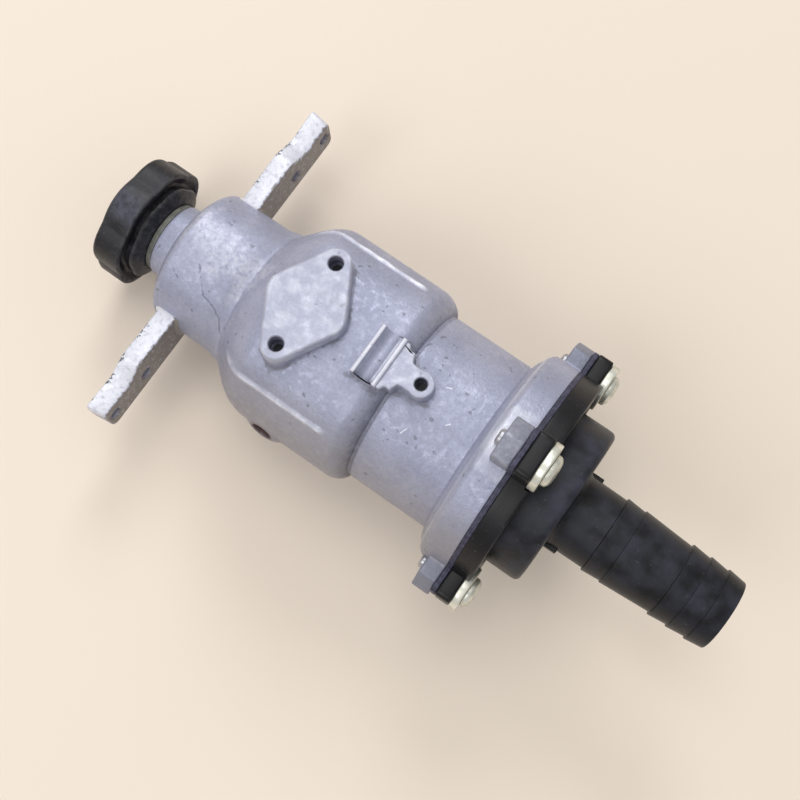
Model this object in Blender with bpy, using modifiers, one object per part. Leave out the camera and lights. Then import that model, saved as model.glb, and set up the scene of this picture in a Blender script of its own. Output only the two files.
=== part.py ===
"""Manual bilge pump: a lift pump with a knob on its plunger, cast body, and hose-barb end cover.

Sizes are in millimetres and are turned into metres where points are made. The pump lies along +X,
with the knob at -X and the hose end at +X, and +Z is the side with the cast pads. Every size along
the pump is measured from the front face of the collar. All pieces hang on an empty that brings the
middle of the pump to the origin.
"""

import math

import bmesh
import bpy
from mathutils import Matrix, Vector

MM = 0.001

# Clearances
SEAT_GAP = 0.3
RUNNING_GAP = 0.3

# Driving dimensions along the pump
COLLAR_TO_TIP = 160.0
COLLAR_LENGTH = 4.6
NECK_START = 8.8
BULGE_START = 28.0
BULGE_END = 69.6
FLANGE_LENGTH = 9.8
HOSE_TAIL_LENGTH = 43.0

# Cast body, outside
COLLAR_RADIUS = 9.4
COLLAR_FLARE = 0.4
NECK_RADIUS = 17.8
NECK_SWELL = 0.9
NECK_SWELL_LENGTH = 5.0
BULGE_RISE = 12.0
BULGE_FALL = 5.6
BULGE_RADIUS = 25.8
BULGE_SQUARENESS = 2.5
BARREL_RADIUS = 22.75
FLANGE_RADIUS = 28.4
FLANGE_RISE = 3.8
FACE_CHAMFER = 0.3
RIDGE_HEIGHT = 0.45
RIDGE_ANGLE = 42.6
RIDGE_SPREAD = 1.4
RIDGE_FROM_BULGE = 3.0
RIDGE_FADE_IN = 4.0
RIDGE_END_GAP = 2.5
RIDGE_FADE_OUT = 2.0

# Cast body, inside
BULGE_WALL = 3.5
CHAMBER_FRONT = 36.5
CHAMBER_BACK = 65.8
CHAMBER_TAPER = 4.5
NECK_BORE_RADIUS = 14.2
GLAND_RADIUS = 8.0
GLAND_START = 4.2
GLAND_END = 18.0
CIRCLIP_SEAT = 3.1
CIRCLIP_GROOVE_WIDTH = 1.4
CIRCLIP_GROOVE_DEPTH = 0.9
CIRCLIP_THICKNESS = 0.8
CIRCLIP_BORE_RADIUS = 6.6
CIRCLIP_GAP_WIDTH = 3.2
LIP_SEAT_DEPTH = 1.7
PORT_RADIUS = 8.0
PORT_X = 50.0
PORT_FACE_DEPTH = 1.3
PORT_FACE_RADIUS = 12.0
SIDE_HOLE_RADIUS = 2.7
SIDE_HOLE_X = 46.8
SIDE_HOLE_DEPTH = 2.2

# Mounting ears
EAR_FRONT = 9.8
EAR_THICKNESS = 5.1
EAR_TIP_Y = 46.3
EAR_STEP_START_Y = 31.0
EAR_STEP_END_Y = 36.8
EAR_TOP_Z = 6.8
EAR_TIP_TOP_Z = 4.4
EAR_BOTTOM_Z = -6.5
EAR_HOLE_RADIUS = 1.6
EAR_HOLES_Y = (30.8, 43.0)
EAR_HOLE_Z = -1.0
EAR_ROOT_DEPTH = 6.0
EAR_ROOT_DROP = 1.1
EAR_TIP_RISE = 0.5
EAR_STEP_DIP = 0.6
EAR_CORNER_RADIUS = 2.0

# Pads on the bulge
PAD_X = 44.6
PAD_HEIGHT = 4.6
PAD_HOLE_Y = 11.2
PAD_CORNER_RADIUS = 3.7
PAD_HALF_LENGTH = 10.0
PAD_SIDE_RADIUS = 4.4
PAD_HOLE_RADIUS = 1.75
PAD_HOLE_DEPTH = 5.0
PAD_ROOT_DEPTH = 5.8
CLAMP_X = 64.1
CLAMP_WIDTH = 7.0
CLAMP_HALF_LENGTH = 6.4
CLAMP_HEIGHT = 2.6
CLAMP_GROOVE_RADIUS = 2.35
CLAMP_PLATE_HEIGHT = 1.7
CLAMP_BOSS_X = 75.4
CLAMP_BOSS_RADIUS = 3.1
CLAMP_HOLE_RADIUS = 1.45
CLAMP_HOLE_DEPTH = 3.4
CLAMP_ROOT_DEPTH = 4.5
CLAMP_PLATE_ROOT_DEPTH = 4.7
CLAMP_GROOVE_RISE = 0.2

# Flange bosses and screws
SCREW_COUNT = 4
LUG_OUTER_RADIUS = 34.5
LUG_END_MARGIN = 5.3
LUG_HALF_WIDTH = 5.7
LUG_CORNER_RADIUS = 1.6
BOSS_CORNER_RADIUS = 6.3
BOSS_LENGTH = 4.7
SCREW_RADIUS = 2.0
SCREW_LENGTH = 13.4
HEAD_RADIUS = 3.9
HEAD_HEIGHT = 1.8
RECESS_WIDTH = 0.95
RECESS_LENGTH = 3.9
RECESS_DEPTH = 1.1
WASHER_RADIUS = 6.0
WASHER_THICKNESS = 1.6

# End cover
GASKET_THICKNESS = 0.7
COVER_RIM_THICKNESS = 5.0
COVER_LUG_THICKNESS = 3.9
GASKET_INSET = 0.1
COVER_BOSS_RADIUS = 20.8
COVER_BOSS_LENGTH = 14.1
COVER_BOSS_CORNER = 2.3
COVER_END_WALL = 3.5
COVER_GROOVE_WIDTH = 1.6
COVER_GROOVE_DEPTH = 0.9
COVER_CHAMBER_RADIUS = 16.0
SPOT_FACE_MARGIN = 0.5
BARB_BASE_RADIUS = 9.5
BARB_BASE_TAPER = 0.15
BARB_FILLET = 1.6
BARB_BORE_RADIUS = 7.2
BARB_DISTANCES = (10.4, 15.4, 28.6, 33.5, 38.4)
BARB_TOP_RADII = (10.05, 10.0, 9.75, 9.7, 9.6)
BARB_END_RADII = (9.65, 9.15, 9.25, 9.15, 9.0)
BARB_EDGE = 0.15
BARB_TIP_CHAMFER = 0.4
BARB_RIB_LENGTH = 3.4
BARB_RIB_WIDTH = 2.4
BARB_RIB_HEIGHT = 1.0

# Cylinder and plunger
LINER_BORE_RADIUS = 18.5
LINER_WALL = 1.2
LINER_SPARE = 2.1
LINER_LIP_RADIUS = 21.5
LINER_LIP_THICKNESS = 1.1
ROD_RADIUS = 4.0
ROD_THREAD_RADIUS = 2.9
PISTON_SETBACK = 27.8
STROKE = 40.0
PISTON_HUB_RADIUS = 5.0
PISTON_HUB_LENGTH = 4.5
PISTON_LENGTH = 10.0
PISTON_PORT_RADIUS = 2.1
PISTON_PORT_CIRCLE = 9.2
PISTON_VALVE_RADIUS = 12.2
VALVE_STOP_RADIUS = 8.5
PISTON_WASHER_RADIUS = 6.5
RING_DEPTH = 2.5
RING_SPACING = 2.0
SEAL_SETBACK = 1.8
SEAL_WIDTH = 2.8
GUIDE_WIDTH = 1.9
VALVE_THICKNESS = 1.6
PLATE_THIN = 1.2
NUT_FLATS = 10.0
NUT_THICKNESS = 4.5

# Foot valve
VALVE_PLATE_RADIUS = 19.5
VALVE_PLATE_THICKNESS = 2.9
FOOT_PORT_RADIUS = 2.6
FOOT_PORT_CIRCLE = 8.5
FOOT_VALVE_RADIUS = 12.5
FOOT_VALVE_LIFT = 2.4
FOOT_BOLT_RADIUS = 2.0
FOOT_HEAD_RADIUS = 4.2
FOOT_NUT_FLATS = 7.0
FOOT_NUT_THICKNESS = 3.2
PORT_COUNT = 6

# Knob
KNOB_RADIUS = 15.6
KNOB_LOBE = 0.5
KNOB_LOBES = 7
KNOB_LOBE_ANGLE = 98.0
KNOB_FRONT = -12.6
KNOB_RIM_BACK = -4.8
KNOB_HUB_RADIUS = 12.9
WASHER_ON_ROD_THICKNESS = 0.9
BUMP_WASHER_INSET = 0.3
INSERT_RADIUS = 5.2
INSERT_LENGTH = 7.4

# Facets
ROUND = 36
SMALL = 24

# Places worked out from the sizes above
COVER_BOSS_END = COLLAR_TO_TIP - HOSE_TAIL_LENGTH
COVER_CHAMBER_END = COVER_BOSS_END - COVER_END_WALL
BODY_END = COVER_BOSS_END - COVER_BOSS_LENGTH - GASKET_THICKNESS - 2 * SEAT_GAP
FLANGE_START = BODY_END - FLANGE_LENGTH
BULGE_FULL = BULGE_START + BULGE_RISE
BULGE_SHOULDER = BULGE_END - BULGE_FALL
CHAMBER_RADIUS = BULGE_RADIUS - BULGE_WALL
PAD_TOP_Z = BULGE_RADIUS + PAD_HEIGHT
CLAMP_TOP_Z = BULGE_RADIUS + CLAMP_HEIGHT
CLAMP_PLATE_Z = BULGE_RADIUS + CLAMP_PLATE_HEIGHT
SCREW_CIRCLE_RADIUS = LUG_OUTER_RADIUS - LUG_END_MARGIN
CIRCLIP_FRONT = GLAND_END - CIRCLIP_SEAT
GASKET_START = BODY_END + SEAT_GAP
COVER_FACE = GASKET_START + GASKET_THICKNESS + SEAT_GAP
LUG_BACK = COVER_FACE + COVER_LUG_THICKNESS
RIM_BACK = COVER_FACE + COVER_RIM_THICKNESS
WASHER_START = LUG_BACK + SEAT_GAP
HEAD_START = WASHER_START + WASHER_THICKNESS + SEAT_GAP
BOSS_FRONT = BODY_END - BOSS_LENGTH
BORE_RADIUS = LINER_BORE_RADIUS + LINER_WALL + SEAT_GAP
ROD_SHOULDER_X = BODY_END - PISTON_SETBACK
HUB_FRONT = ROD_SHOULDER_X + SEAT_GAP + PLATE_THIN + SEAT_GAP
PISTON_FRONT = HUB_FRONT + PISTON_HUB_LENGTH
PISTON_BACK = PISTON_FRONT + PISTON_LENGTH
LINER_FRONT = PISTON_FRONT - STROKE - LINER_SPARE
PISTON_RADIUS = LINER_BORE_RADIUS - RUNNING_GAP - 0.1
RING_RADIUS = LINER_BORE_RADIUS - RUNNING_GAP
RING_GROOVE_RADIUS = RING_RADIUS - RING_DEPTH - SEAT_GAP
SEAL_START = PISTON_FRONT + SEAL_SETBACK
GUIDE_START = SEAL_START + SEAL_WIDTH + RING_SPACING
PISTON_VALVE_START = PISTON_FRONT - SEAT_GAP - VALVE_THICKNESS
NUT_START = PISTON_BACK + SEAT_GAP + PLATE_THIN + SEAT_GAP
ROD_END = NUT_START + NUT_THICKNESS + 0.3
FOOT_VALVE_START = COVER_FACE - SEAT_GAP - VALVE_THICKNESS
FOOT_HEAD_BACK = FOOT_VALVE_START - SEAT_GAP - FOOT_VALVE_LIFT
PLATE_BACK = COVER_FACE + VALVE_PLATE_THICKNESS
FOOT_NUT_START = PLATE_BACK + SEAT_GAP
BUMP_WASHER_START = -SEAT_GAP - WASHER_ON_ROD_THICKNESS
HUB_END = BUMP_WASHER_START - SEAT_GAP
INSERT_END = HUB_END - SEAT_GAP
INSERT_START = INSERT_END - INSERT_LENGTH
SCREW_ANGLES = [math.tau * turn / SCREW_COUNT for turn in range(SCREW_COUNT)]
PUMP_MIDDLE = (KNOB_FRONT + COLLAR_TO_TIP) / 2


def clear_scene():
    for item in list(bpy.data.objects):
        bpy.data.objects.remove(item, do_unlink=True)


def new_collection(name, hidden=False):
    collection = bpy.data.collections.new(name)
    bpy.context.scene.collection.children.link(collection)
    collection.hide_render = hidden
    return collection


def material(name, colour, roughness, metallic=0.0):
    made = bpy.data.materials.new(name)
    made.use_nodes = True
    shader = made.node_tree.nodes["Principled BSDF"]
    shader.inputs["Base Color"].default_value = (*colour, 1.0)
    shader.inputs["Roughness"].default_value = roughness
    shader.inputs["Metallic"].default_value = metallic
    made.diffuse_color = (*colour, 1.0)
    return made


def add_object(name, mesh, collection, finish=None):
    made = bpy.data.objects.new(name, mesh)
    collection.objects.link(made)
    if finish is not None:
        mesh.materials.append(finish)
    for face in mesh.polygons:
        face.use_smooth = True
    if mesh.polygons:
        mesh.set_sharp_from_angle(angle=math.radians(30))
    return made


def profile_mesh(name, points, closed):
    """Edges through (x, radius) points, laid in the local XZ plane with the pump's x as local z."""
    mesh = bpy.data.meshes.new(name)
    edges = [(i, i + 1) for i in range(len(points) - 1)]
    if closed:
        edges.append((len(points) - 1, 0))
    mesh.from_pydata([(radius * MM, 0.0, x * MM) for x, radius in points], edges, [])
    return mesh


def turned(name, outside, collection, finish=None, inside=None, steps=ROUND):
    """A piece turned about the X axis: outside and inside are (x, radius) from front to back."""
    if inside is None:
        points = [(outside[-1][0], 0.0), *reversed(outside), (outside[0][0], 0.0)]
    else:
        points = [*reversed(outside), *inside]
    made = add_object(name, profile_mesh(name, points, inside is not None), collection, finish)
    made.rotation_euler = (0.0, math.pi / 2, 0.0)
    screw = made.modifiers.new("turn", "SCREW")
    screw.axis = "Z"
    screw.steps = steps
    screw.render_steps = steps
    screw.use_merge_vertices = True
    screw.merge_threshold = 0.00001
    screw.use_smooth_shade = True
    return made


def prism(name, outline, low, high, axis, collection, finish=None):
    """A flat outline pushed along an axis. The outline lies in the two other axes, in their order."""
    places = {"X": lambda a, b, c: (c, a, b), "Y": lambda a, b, c: (a, c, b), "Z": lambda a, b, c: (a, b, c)}
    place = places[axis]
    shape = bmesh.new()
    corners = [shape.verts.new(Vector(place(a, b, low)) * MM) for a, b in outline]
    face = shape.faces.new(corners)
    pushed = bmesh.ops.extrude_face_region(shape, geom=[face])
    moved = [item for item in pushed["geom"] if isinstance(item, bmesh.types.BMVert)]
    bmesh.ops.translate(shape, verts=moved, vec=Vector(place(0.0, 0.0, high - low)) * MM)
    bmesh.ops.recalc_face_normals(shape, faces=shape.faces)
    mesh = bpy.data.meshes.new(name)
    shape.to_mesh(mesh)
    shape.free()
    return add_object(name, mesh, collection, finish)


def cylinder_in(shape, centre, axis, radius, length, steps=SMALL, turn=0.0):
    """Adds a capped cylinder to a bmesh, running from centre along axis."""
    direction = Vector(axis).normalized()
    spin = Matrix.Rotation(turn, 4, "Z")
    aim = direction.to_track_quat("Z", "Y").to_matrix().to_4x4()
    middle = Vector(centre) * MM + direction * length * MM / 2
    bmesh.ops.create_cone(
        shape,
        cap_ends=True,
        segments=steps,
        radius1=radius * MM,
        radius2=radius * MM,
        depth=length * MM,
        matrix=Matrix.Translation(middle) @ aim @ spin,
    )


def from_bmesh(name, shape, collection, finish=None):
    mesh = bpy.data.meshes.new(name)
    shape.to_mesh(mesh)
    shape.free()
    return add_object(name, mesh, collection, finish)


def boolean(target, other, operation):
    step = target.modifiers.new(operation.lower() + " " + other.name, "BOOLEAN")
    step.operation = operation
    step.object = other
    step.solver = "EXACT"


def arc(centre, radius, start, end, steps):
    """Points of an arc in a plane, with angles in degrees."""
    points = []
    for step in range(steps + 1):
        angle = math.radians(start + (end - start) * step / steps)
        points.append((centre[0] + radius * math.cos(angle), centre[1] + radius * math.sin(angle)))
    return points


def hull(circles, steps=8):
    """The outline round a convex set of circles, given as (x, y, radius) in turning order."""
    points = []
    count = len(circles)
    angles = []
    for index in range(count):
        here = circles[index]
        after = circles[(index + 1) % count]
        step = Vector((after[0] - here[0], after[1] - here[1]))
        lean = math.asin((here[2] - after[2]) / step.length)
        angles.append(math.atan2(step.y, step.x) - math.pi / 2 + lean)
    for index in range(count):
        x, y, radius = circles[index]
        start = angles[index - 1]
        sweep = (angles[index] - start) % math.tau
        for step in range(steps + 1):
            angle = start + sweep * step / steps
            points.append((x + radius * math.cos(angle), y + radius * math.sin(angle)))
    return points


def blend(low, high, share):
    """A smooth change from low to high as share goes from 0 to 1."""
    share = min(max(share, 0.0), 1.0)
    return low + (high - low) * share * share * (3 - 2 * share)


def screw_place(angle):
    """Where a screw's axis crosses the YZ plane."""
    return SCREW_CIRCLE_RADIUS * math.cos(angle), SCREW_CIRCLE_RADIUS * math.sin(angle)


# Cast body


def body_radius(x):
    """Half width of the cast body at x: collar, domed shoulder, neck, bulge, barrel and flange."""
    foot = COLLAR_RADIUS + COLLAR_FLARE
    swollen = NECK_RADIUS + NECK_SWELL
    if x < COLLAR_LENGTH:
        return COLLAR_RADIUS + COLLAR_FLARE * x / COLLAR_LENGTH
    if x < NECK_START:
        share = (x - COLLAR_LENGTH) / (NECK_START - COLLAR_LENGTH)
        return foot + (NECK_RADIUS - foot) * math.sin(share * math.pi / 2) ** 0.7
    if x < BULGE_START:
        return blend(NECK_RADIUS, swollen, 1 - (BULGE_START - x) / NECK_SWELL_LENGTH)
    if x < BULGE_FULL:
        share = (x - BULGE_START) / BULGE_RISE
        return swollen + (BULGE_RADIUS - swollen) * math.sin(share * math.pi / 2)
    if x < BULGE_SHOULDER:
        return BULGE_RADIUS
    if x < BULGE_END:
        depth = (x - BULGE_SHOULDER) / BULGE_FALL
        return BARREL_RADIUS + (BULGE_RADIUS - BARREL_RADIUS) * math.sqrt(max(0.0, 1 - depth**2.4))
    if x < FLANGE_START:
        return BARREL_RADIUS
    share = min((x - FLANGE_START) / FLANGE_RISE, 1.0)
    return BARREL_RADIUS + (FLANGE_RADIUS - BARREL_RADIUS) * math.sin(share * math.pi / 2) ** 0.8


def body_squareness(x):
    rise = blend(2.0, BULGE_SQUARENESS, (x - BULGE_START) / BULGE_RISE)
    fall = blend(0.0, BULGE_SQUARENESS - 2.0, 1 - (BULGE_END - x) / (BULGE_FALL - 1.0))
    return rise - fall


def ridge_share(x):
    """How far the cast ridge stands up at x: it runs along the bulge and fades at both ends."""
    start = BULGE_START + RIDGE_FROM_BULGE
    end = BULGE_SHOULDER - RIDGE_END_GAP
    return blend(0.0, 1.0, (x - start) / RIDGE_FADE_IN) * blend(1.0, 0.0, (x - end) / RIDGE_FADE_OUT)


def body_stations():
    """Places of the rings along the body: closest together where its outline curves most."""
    dome = [COLLAR_LENGTH + (NECK_START - COLLAR_LENGTH) * share for share in (0.055, 0.185, 0.41, 0.67)]
    swell = [BULGE_START - NECK_SWELL_LENGTH, BULGE_START - NECK_SWELL_LENGTH * 0.4]
    rise = [BULGE_START + BULGE_RISE * share for share in (0.083, 0.25, 0.46, 0.71, 1.04)]
    ridge_end = BULGE_SHOULDER - RIDGE_END_GAP
    fall = [BULGE_SHOULDER + BULGE_FALL * share for share in (-0.036, 0.32, 0.59, 0.82, 0.945)]
    flare = [FLANGE_START + FLANGE_RISE * share for share in (0.0, 0.14, 0.32, 0.56, 0.96)]
    front = [0.0, FACE_CHAMFER, COLLAR_LENGTH, *dome, NECK_START, *swell]
    return front + rise + [ridge_end, *fall, BULGE_END] + flare + [BODY_END - FACE_CHAMFER, BODY_END]


def section_angles():
    """Evenly spaced, but with three close together at each of the four ridges."""
    crests = {RIDGE_ANGLE, 180 - RIDGE_ANGLE, 180 + RIDGE_ANGLE, 360 - RIDGE_ANGLE}
    angles = [360.0 * turn / ROUND for turn in range(ROUND)]
    angles = [angle for angle in angles if all(abs(angle - crest) > 4.0 for crest in crests)]
    for crest in crests:
        angles += [crest - RIDGE_SPREAD, crest, crest + RIDGE_SPREAD]
    return sorted(angles), crests


def loft(name, rings, collection, finish=None):
    """A closed skin through rings of as many points each, with a flat face on the first and last."""
    shape = bmesh.new()
    rows = [[shape.verts.new(Vector(point) * MM) for point in ring] for ring in rings]
    count = len(rows[0])
    for front, back in zip(rows, rows[1:]):
        for index in range(count):
            after = (index + 1) % count
            shape.faces.new((front[index], front[after], back[after], back[index]))
    shape.faces.new(rows[0])
    shape.faces.new(rows[-1])
    bmesh.ops.recalc_face_normals(shape, faces=shape.faces)
    return from_bmesh(name, shape, collection, finish)


def body_casting(collection, finish):
    angles, crests = section_angles()
    rings = []
    for x in body_stations():
        radius = body_radius(x)
        if x in (0.0, BODY_END):
            radius -= FACE_CHAMFER
        power = body_squareness(x)
        ring = []
        for degrees in angles:
            angle = math.radians(degrees)
            across = abs(math.cos(angle)) ** power + abs(math.sin(angle)) ** power
            reach = radius * across ** (-1 / power)
            if degrees in crests:
                reach += RIDGE_HEIGHT * ridge_share(x)
            ring.append((x, reach * math.cos(angle), reach * math.sin(angle)))
        rings.append(ring)
    return loft("pump_body", rings, collection, finish)


def ear_outline():
    """One mounting ear seen from the front: (y, z) from its root inside the neck to its tip."""
    root = NECK_RADIUS - EAR_ROOT_DEPTH
    corner = EAR_CORNER_RADIUS
    top = EAR_TIP_TOP_Z + EAR_TIP_RISE
    return [
        (root, EAR_BOTTOM_Z),
        *arc((EAR_TIP_Y - corner, EAR_BOTTOM_Z + corner), corner, -90, 0, 3),
        *arc((EAR_TIP_Y - corner, top - corner), corner, 0, 90, 3),
        (EAR_STEP_END_Y, EAR_TIP_TOP_Z - EAR_STEP_DIP),
        (EAR_STEP_START_Y, EAR_TOP_Z),
        (root, EAR_TOP_Z - EAR_ROOT_DROP),
    ]


def pad_outline():
    side = PAD_HALF_LENGTH - PAD_SIDE_RADIUS
    return hull(
        [
            (PAD_X + side, 0.0, PAD_SIDE_RADIUS),
            (PAD_X, PAD_HOLE_Y, PAD_CORNER_RADIUS),
            (PAD_X - side, 0.0, PAD_SIDE_RADIUS),
            (PAD_X, -PAD_HOLE_Y, PAD_CORNER_RADIUS),
        ]
    )


def clamp_plate_outline():
    """The small plate behind the cable groove, with two notches on each side, ending in a boss."""
    edge = CLAMP_X + CLAMP_WIDTH / 2
    half = CLAMP_HALF_LENGTH
    side = [
        (edge - 2.0, half - 0.2),
        (edge + 0.8, half - 0.2),
        (edge + 1.5, half - 1.5),
        (edge + 2.9, half - 1.3),
        (edge + 3.6, half - 3.4),
        (edge + 4.5, half - 3.6),
    ]
    boss = arc((CLAMP_BOSS_X, 0.0), CLAMP_BOSS_RADIUS, 120, -120, 14)
    return side + boss + [(x, -y) for x, y in reversed(side)]


def add_cast_features(body, cutters):
    ear = prism("ear", ear_outline(), EAR_FRONT, EAR_FRONT + EAR_THICKNESS, "X", cutters)
    other_outline = [(-y, z) for y, z in ear_outline()]
    other_ear = prism("other_ear", other_outline, EAR_FRONT, EAR_FRONT + EAR_THICKNESS, "X", cutters)
    root = BULGE_RADIUS - PAD_ROOT_DEPTH
    pad = prism("pad", pad_outline(), root, PAD_TOP_Z, "Z", cutters)
    low = CLAMP_X - CLAMP_WIDTH / 2
    high = CLAMP_X + CLAMP_WIDTH / 2
    half = CLAMP_HALF_LENGTH
    block_outline = [(low, -half), (high, -half), (high, half), (low, half)]
    root = BULGE_RADIUS - CLAMP_ROOT_DEPTH
    block = prism("clamp_block", block_outline, root, CLAMP_TOP_Z, "Z", cutters)
    root = BULGE_RADIUS - CLAMP_PLATE_ROOT_DEPTH
    plate = prism("clamp_plate", clamp_plate_outline(), root, CLAMP_PLATE_Z, "Z", cutters)
    bosses = bmesh.new()
    for angle in SCREW_ANGLES:
        centre = (BOSS_FRONT, *screw_place(angle))
        spin = angle - math.pi / 2
        cylinder_in(bosses, centre, (1, 0, 0), BOSS_CORNER_RADIUS, BOSS_LENGTH, 6, turn=spin)
    bosses = from_bmesh("flange_bosses", bosses, cutters)
    for feature in (ear, other_ear, pad, block, plate, bosses):
        boolean(body, feature, "UNION")


def cut_cast_cavity(body, cutters):
    groove_radius = GLAND_RADIUS + CIRCLIP_GROOVE_DEPTH
    groove_back = CIRCLIP_FRONT + CIRCLIP_GROOVE_WIDTH
    lip_seat = BODY_END - LIP_SEAT_DEPTH
    cavity = turned(
        "body_cavity",
        [
            (-1.0, ROD_RADIUS + RUNNING_GAP + 0.1),
            (GLAND_START, ROD_RADIUS + RUNNING_GAP + 0.1),
            (GLAND_START, GLAND_RADIUS),
            (CIRCLIP_FRONT, GLAND_RADIUS),
            (CIRCLIP_FRONT, groove_radius),
            (groove_back, groove_radius),
            (groove_back, GLAND_RADIUS),
            (GLAND_END, GLAND_RADIUS),
            (GLAND_END, NECK_BORE_RADIUS),
            (CHAMBER_FRONT - CHAMBER_TAPER, NECK_BORE_RADIUS),
            (CHAMBER_FRONT, CHAMBER_RADIUS),
            (CHAMBER_BACK, CHAMBER_RADIUS),
            (CHAMBER_BACK, BORE_RADIUS),
            (lip_seat, BORE_RADIUS),
            (lip_seat, LINER_LIP_RADIUS + SEAT_GAP),
            (BODY_END + 1.0, LINER_LIP_RADIUS + SEAT_GAP),
        ],
        cutters,
    )
    boolean(body, cavity, "DIFFERENCE")


def cut_cast_holes(body, cutters):
    holes = bmesh.new()
    for y in EAR_HOLES_Y:
        for side in (1, -1):
            centre = (EAR_FRONT - 1, side * y, EAR_HOLE_Z)
            cylinder_in(holes, centre, (1, 0, 0), EAR_HOLE_RADIUS, EAR_THICKNESS + 2, 16)
    for side in (1, -1):
        bottom = (PAD_X, side * PAD_HOLE_Y, PAD_TOP_Z - PAD_HOLE_DEPTH)
        cylinder_in(holes, bottom, (0, 0, 1), PAD_HOLE_RADIUS, PAD_HOLE_DEPTH + 1, 20)
    bottom = (CLAMP_BOSS_X, 0, CLAMP_PLATE_Z - CLAMP_HOLE_DEPTH)
    cylinder_in(holes, bottom, (0, 0, 1), CLAMP_HOLE_RADIUS, CLAMP_HOLE_DEPTH + 1, 16)
    start = (CLAMP_X, -CLAMP_HALF_LENGTH - 1, CLAMP_TOP_Z + CLAMP_GROOVE_RISE)
    cylinder_in(holes, start, (0, 1, 0), CLAMP_GROOVE_RADIUS, 2 * CLAMP_HALF_LENGTH + 2, 20)
    inner = (SIDE_HOLE_X, -BULGE_RADIUS + SIDE_HOLE_DEPTH, 0)
    cylinder_in(holes, inner, (0, -1, 0), SIDE_HOLE_RADIUS, SIDE_HOLE_DEPTH + 2, 20)
    for angle in SCREW_ANGLES:
        centre = (FLANGE_START, *screw_place(angle))
        cylinder_in(holes, centre, (1, 0, 0), SCREW_RADIUS + SEAT_GAP, BODY_END - FLANGE_START + 1, 12)
    boolean(body, from_bmesh("body_holes", holes, cutters), "DIFFERENCE")
    face = bmesh.new()
    cylinder_in(face, (PORT_X, 0, PORT_FACE_DEPTH - BULGE_RADIUS), (0, 0, -1), PORT_FACE_RADIUS, 4, ROUND)
    boolean(body, from_bmesh("port_face", face, cutters), "DIFFERENCE")
    port = bmesh.new()
    length = BULGE_RADIUS - BORE_RADIUS + 2
    cylinder_in(port, (PORT_X, 0, -BORE_RADIUS - 1), (0, 0, -1), PORT_RADIUS, length, 32)
    boolean(body, from_bmesh("port_bore", port, cutters), "DIFFERENCE")


def pump_body(parts, cutters):
    finish = material("cast_aluminium", (0.42, 0.43, 0.50), 0.5, 0.75)
    body = body_casting(parts, finish)
    add_cast_features(body, cutters)
    cut_cast_cavity(body, cutters)
    cut_cast_holes(body, cutters)
    return body


# End cover and gasket


def flange_outline(rim_radius, lug_reach, lug_half_width):
    """A round flange with four square-ended lugs, as (y, z)."""
    points = []
    corner = LUG_CORNER_RADIUS
    side_angle = math.degrees(math.asin(lug_half_width / rim_radius))
    for angle in SCREW_ANGLES:
        turn = math.degrees(angle)
        lug = [
            (rim_radius * math.cos(math.radians(-side_angle)), -lug_half_width),
            *arc((lug_reach - corner, corner - lug_half_width), corner, -90, 0, 2),
            *arc((lug_reach - corner, lug_half_width - corner), corner, 0, 90, 2),
        ]
        spin = Matrix.Rotation(angle, 2)
        points += [tuple(spin @ Vector(point)) for point in lug]
        points += arc((0, 0), rim_radius, turn + side_angle, turn + 90 - side_angle, 7)[:-1]
    return points


def cover_profile():
    """Outside of the cover from inside its flange to the hose tip, as (x, radius)."""
    corner = COVER_BOSS_CORNER
    edge = COVER_BOSS_RADIUS - corner
    groove_floor = RIM_BACK - COVER_GROOVE_DEPTH
    points = [
        (COVER_FACE + 1.0, COVER_BOSS_RADIUS + 0.3),
        (groove_floor, COVER_BOSS_RADIUS + 0.3),
        (groove_floor, COVER_BOSS_RADIUS),
    ]
    for x, radius in arc((COVER_BOSS_END - corner, edge), corner, 90, 0, 3):
        points.append((x, radius))
    fillet = BARB_FILLET
    base = BARB_BASE_RADIUS + BARB_BASE_TAPER
    for x, radius in arc((COVER_BOSS_END + fillet, base + fillet), fillet, 180, 270, 3):
        points.append((x, radius))
    starts = [COVER_BOSS_END + distance for distance in BARB_DISTANCES]
    before = BARB_BASE_RADIUS
    for start, top, end, after in zip(starts, BARB_TOP_RADII, BARB_END_RADII, [*starts[1:], None]):
        points += [(start - BARB_EDGE, before), (start, top)]
        if after is not None:
            points.append((after - 2 * BARB_EDGE, end))
        before = end
    tip = BARB_END_RADII[-1]
    points += [(COLLAR_TO_TIP - BARB_TIP_CHAMFER, tip), (COLLAR_TO_TIP, tip - BARB_TIP_CHAMFER)]
    return points


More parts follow.
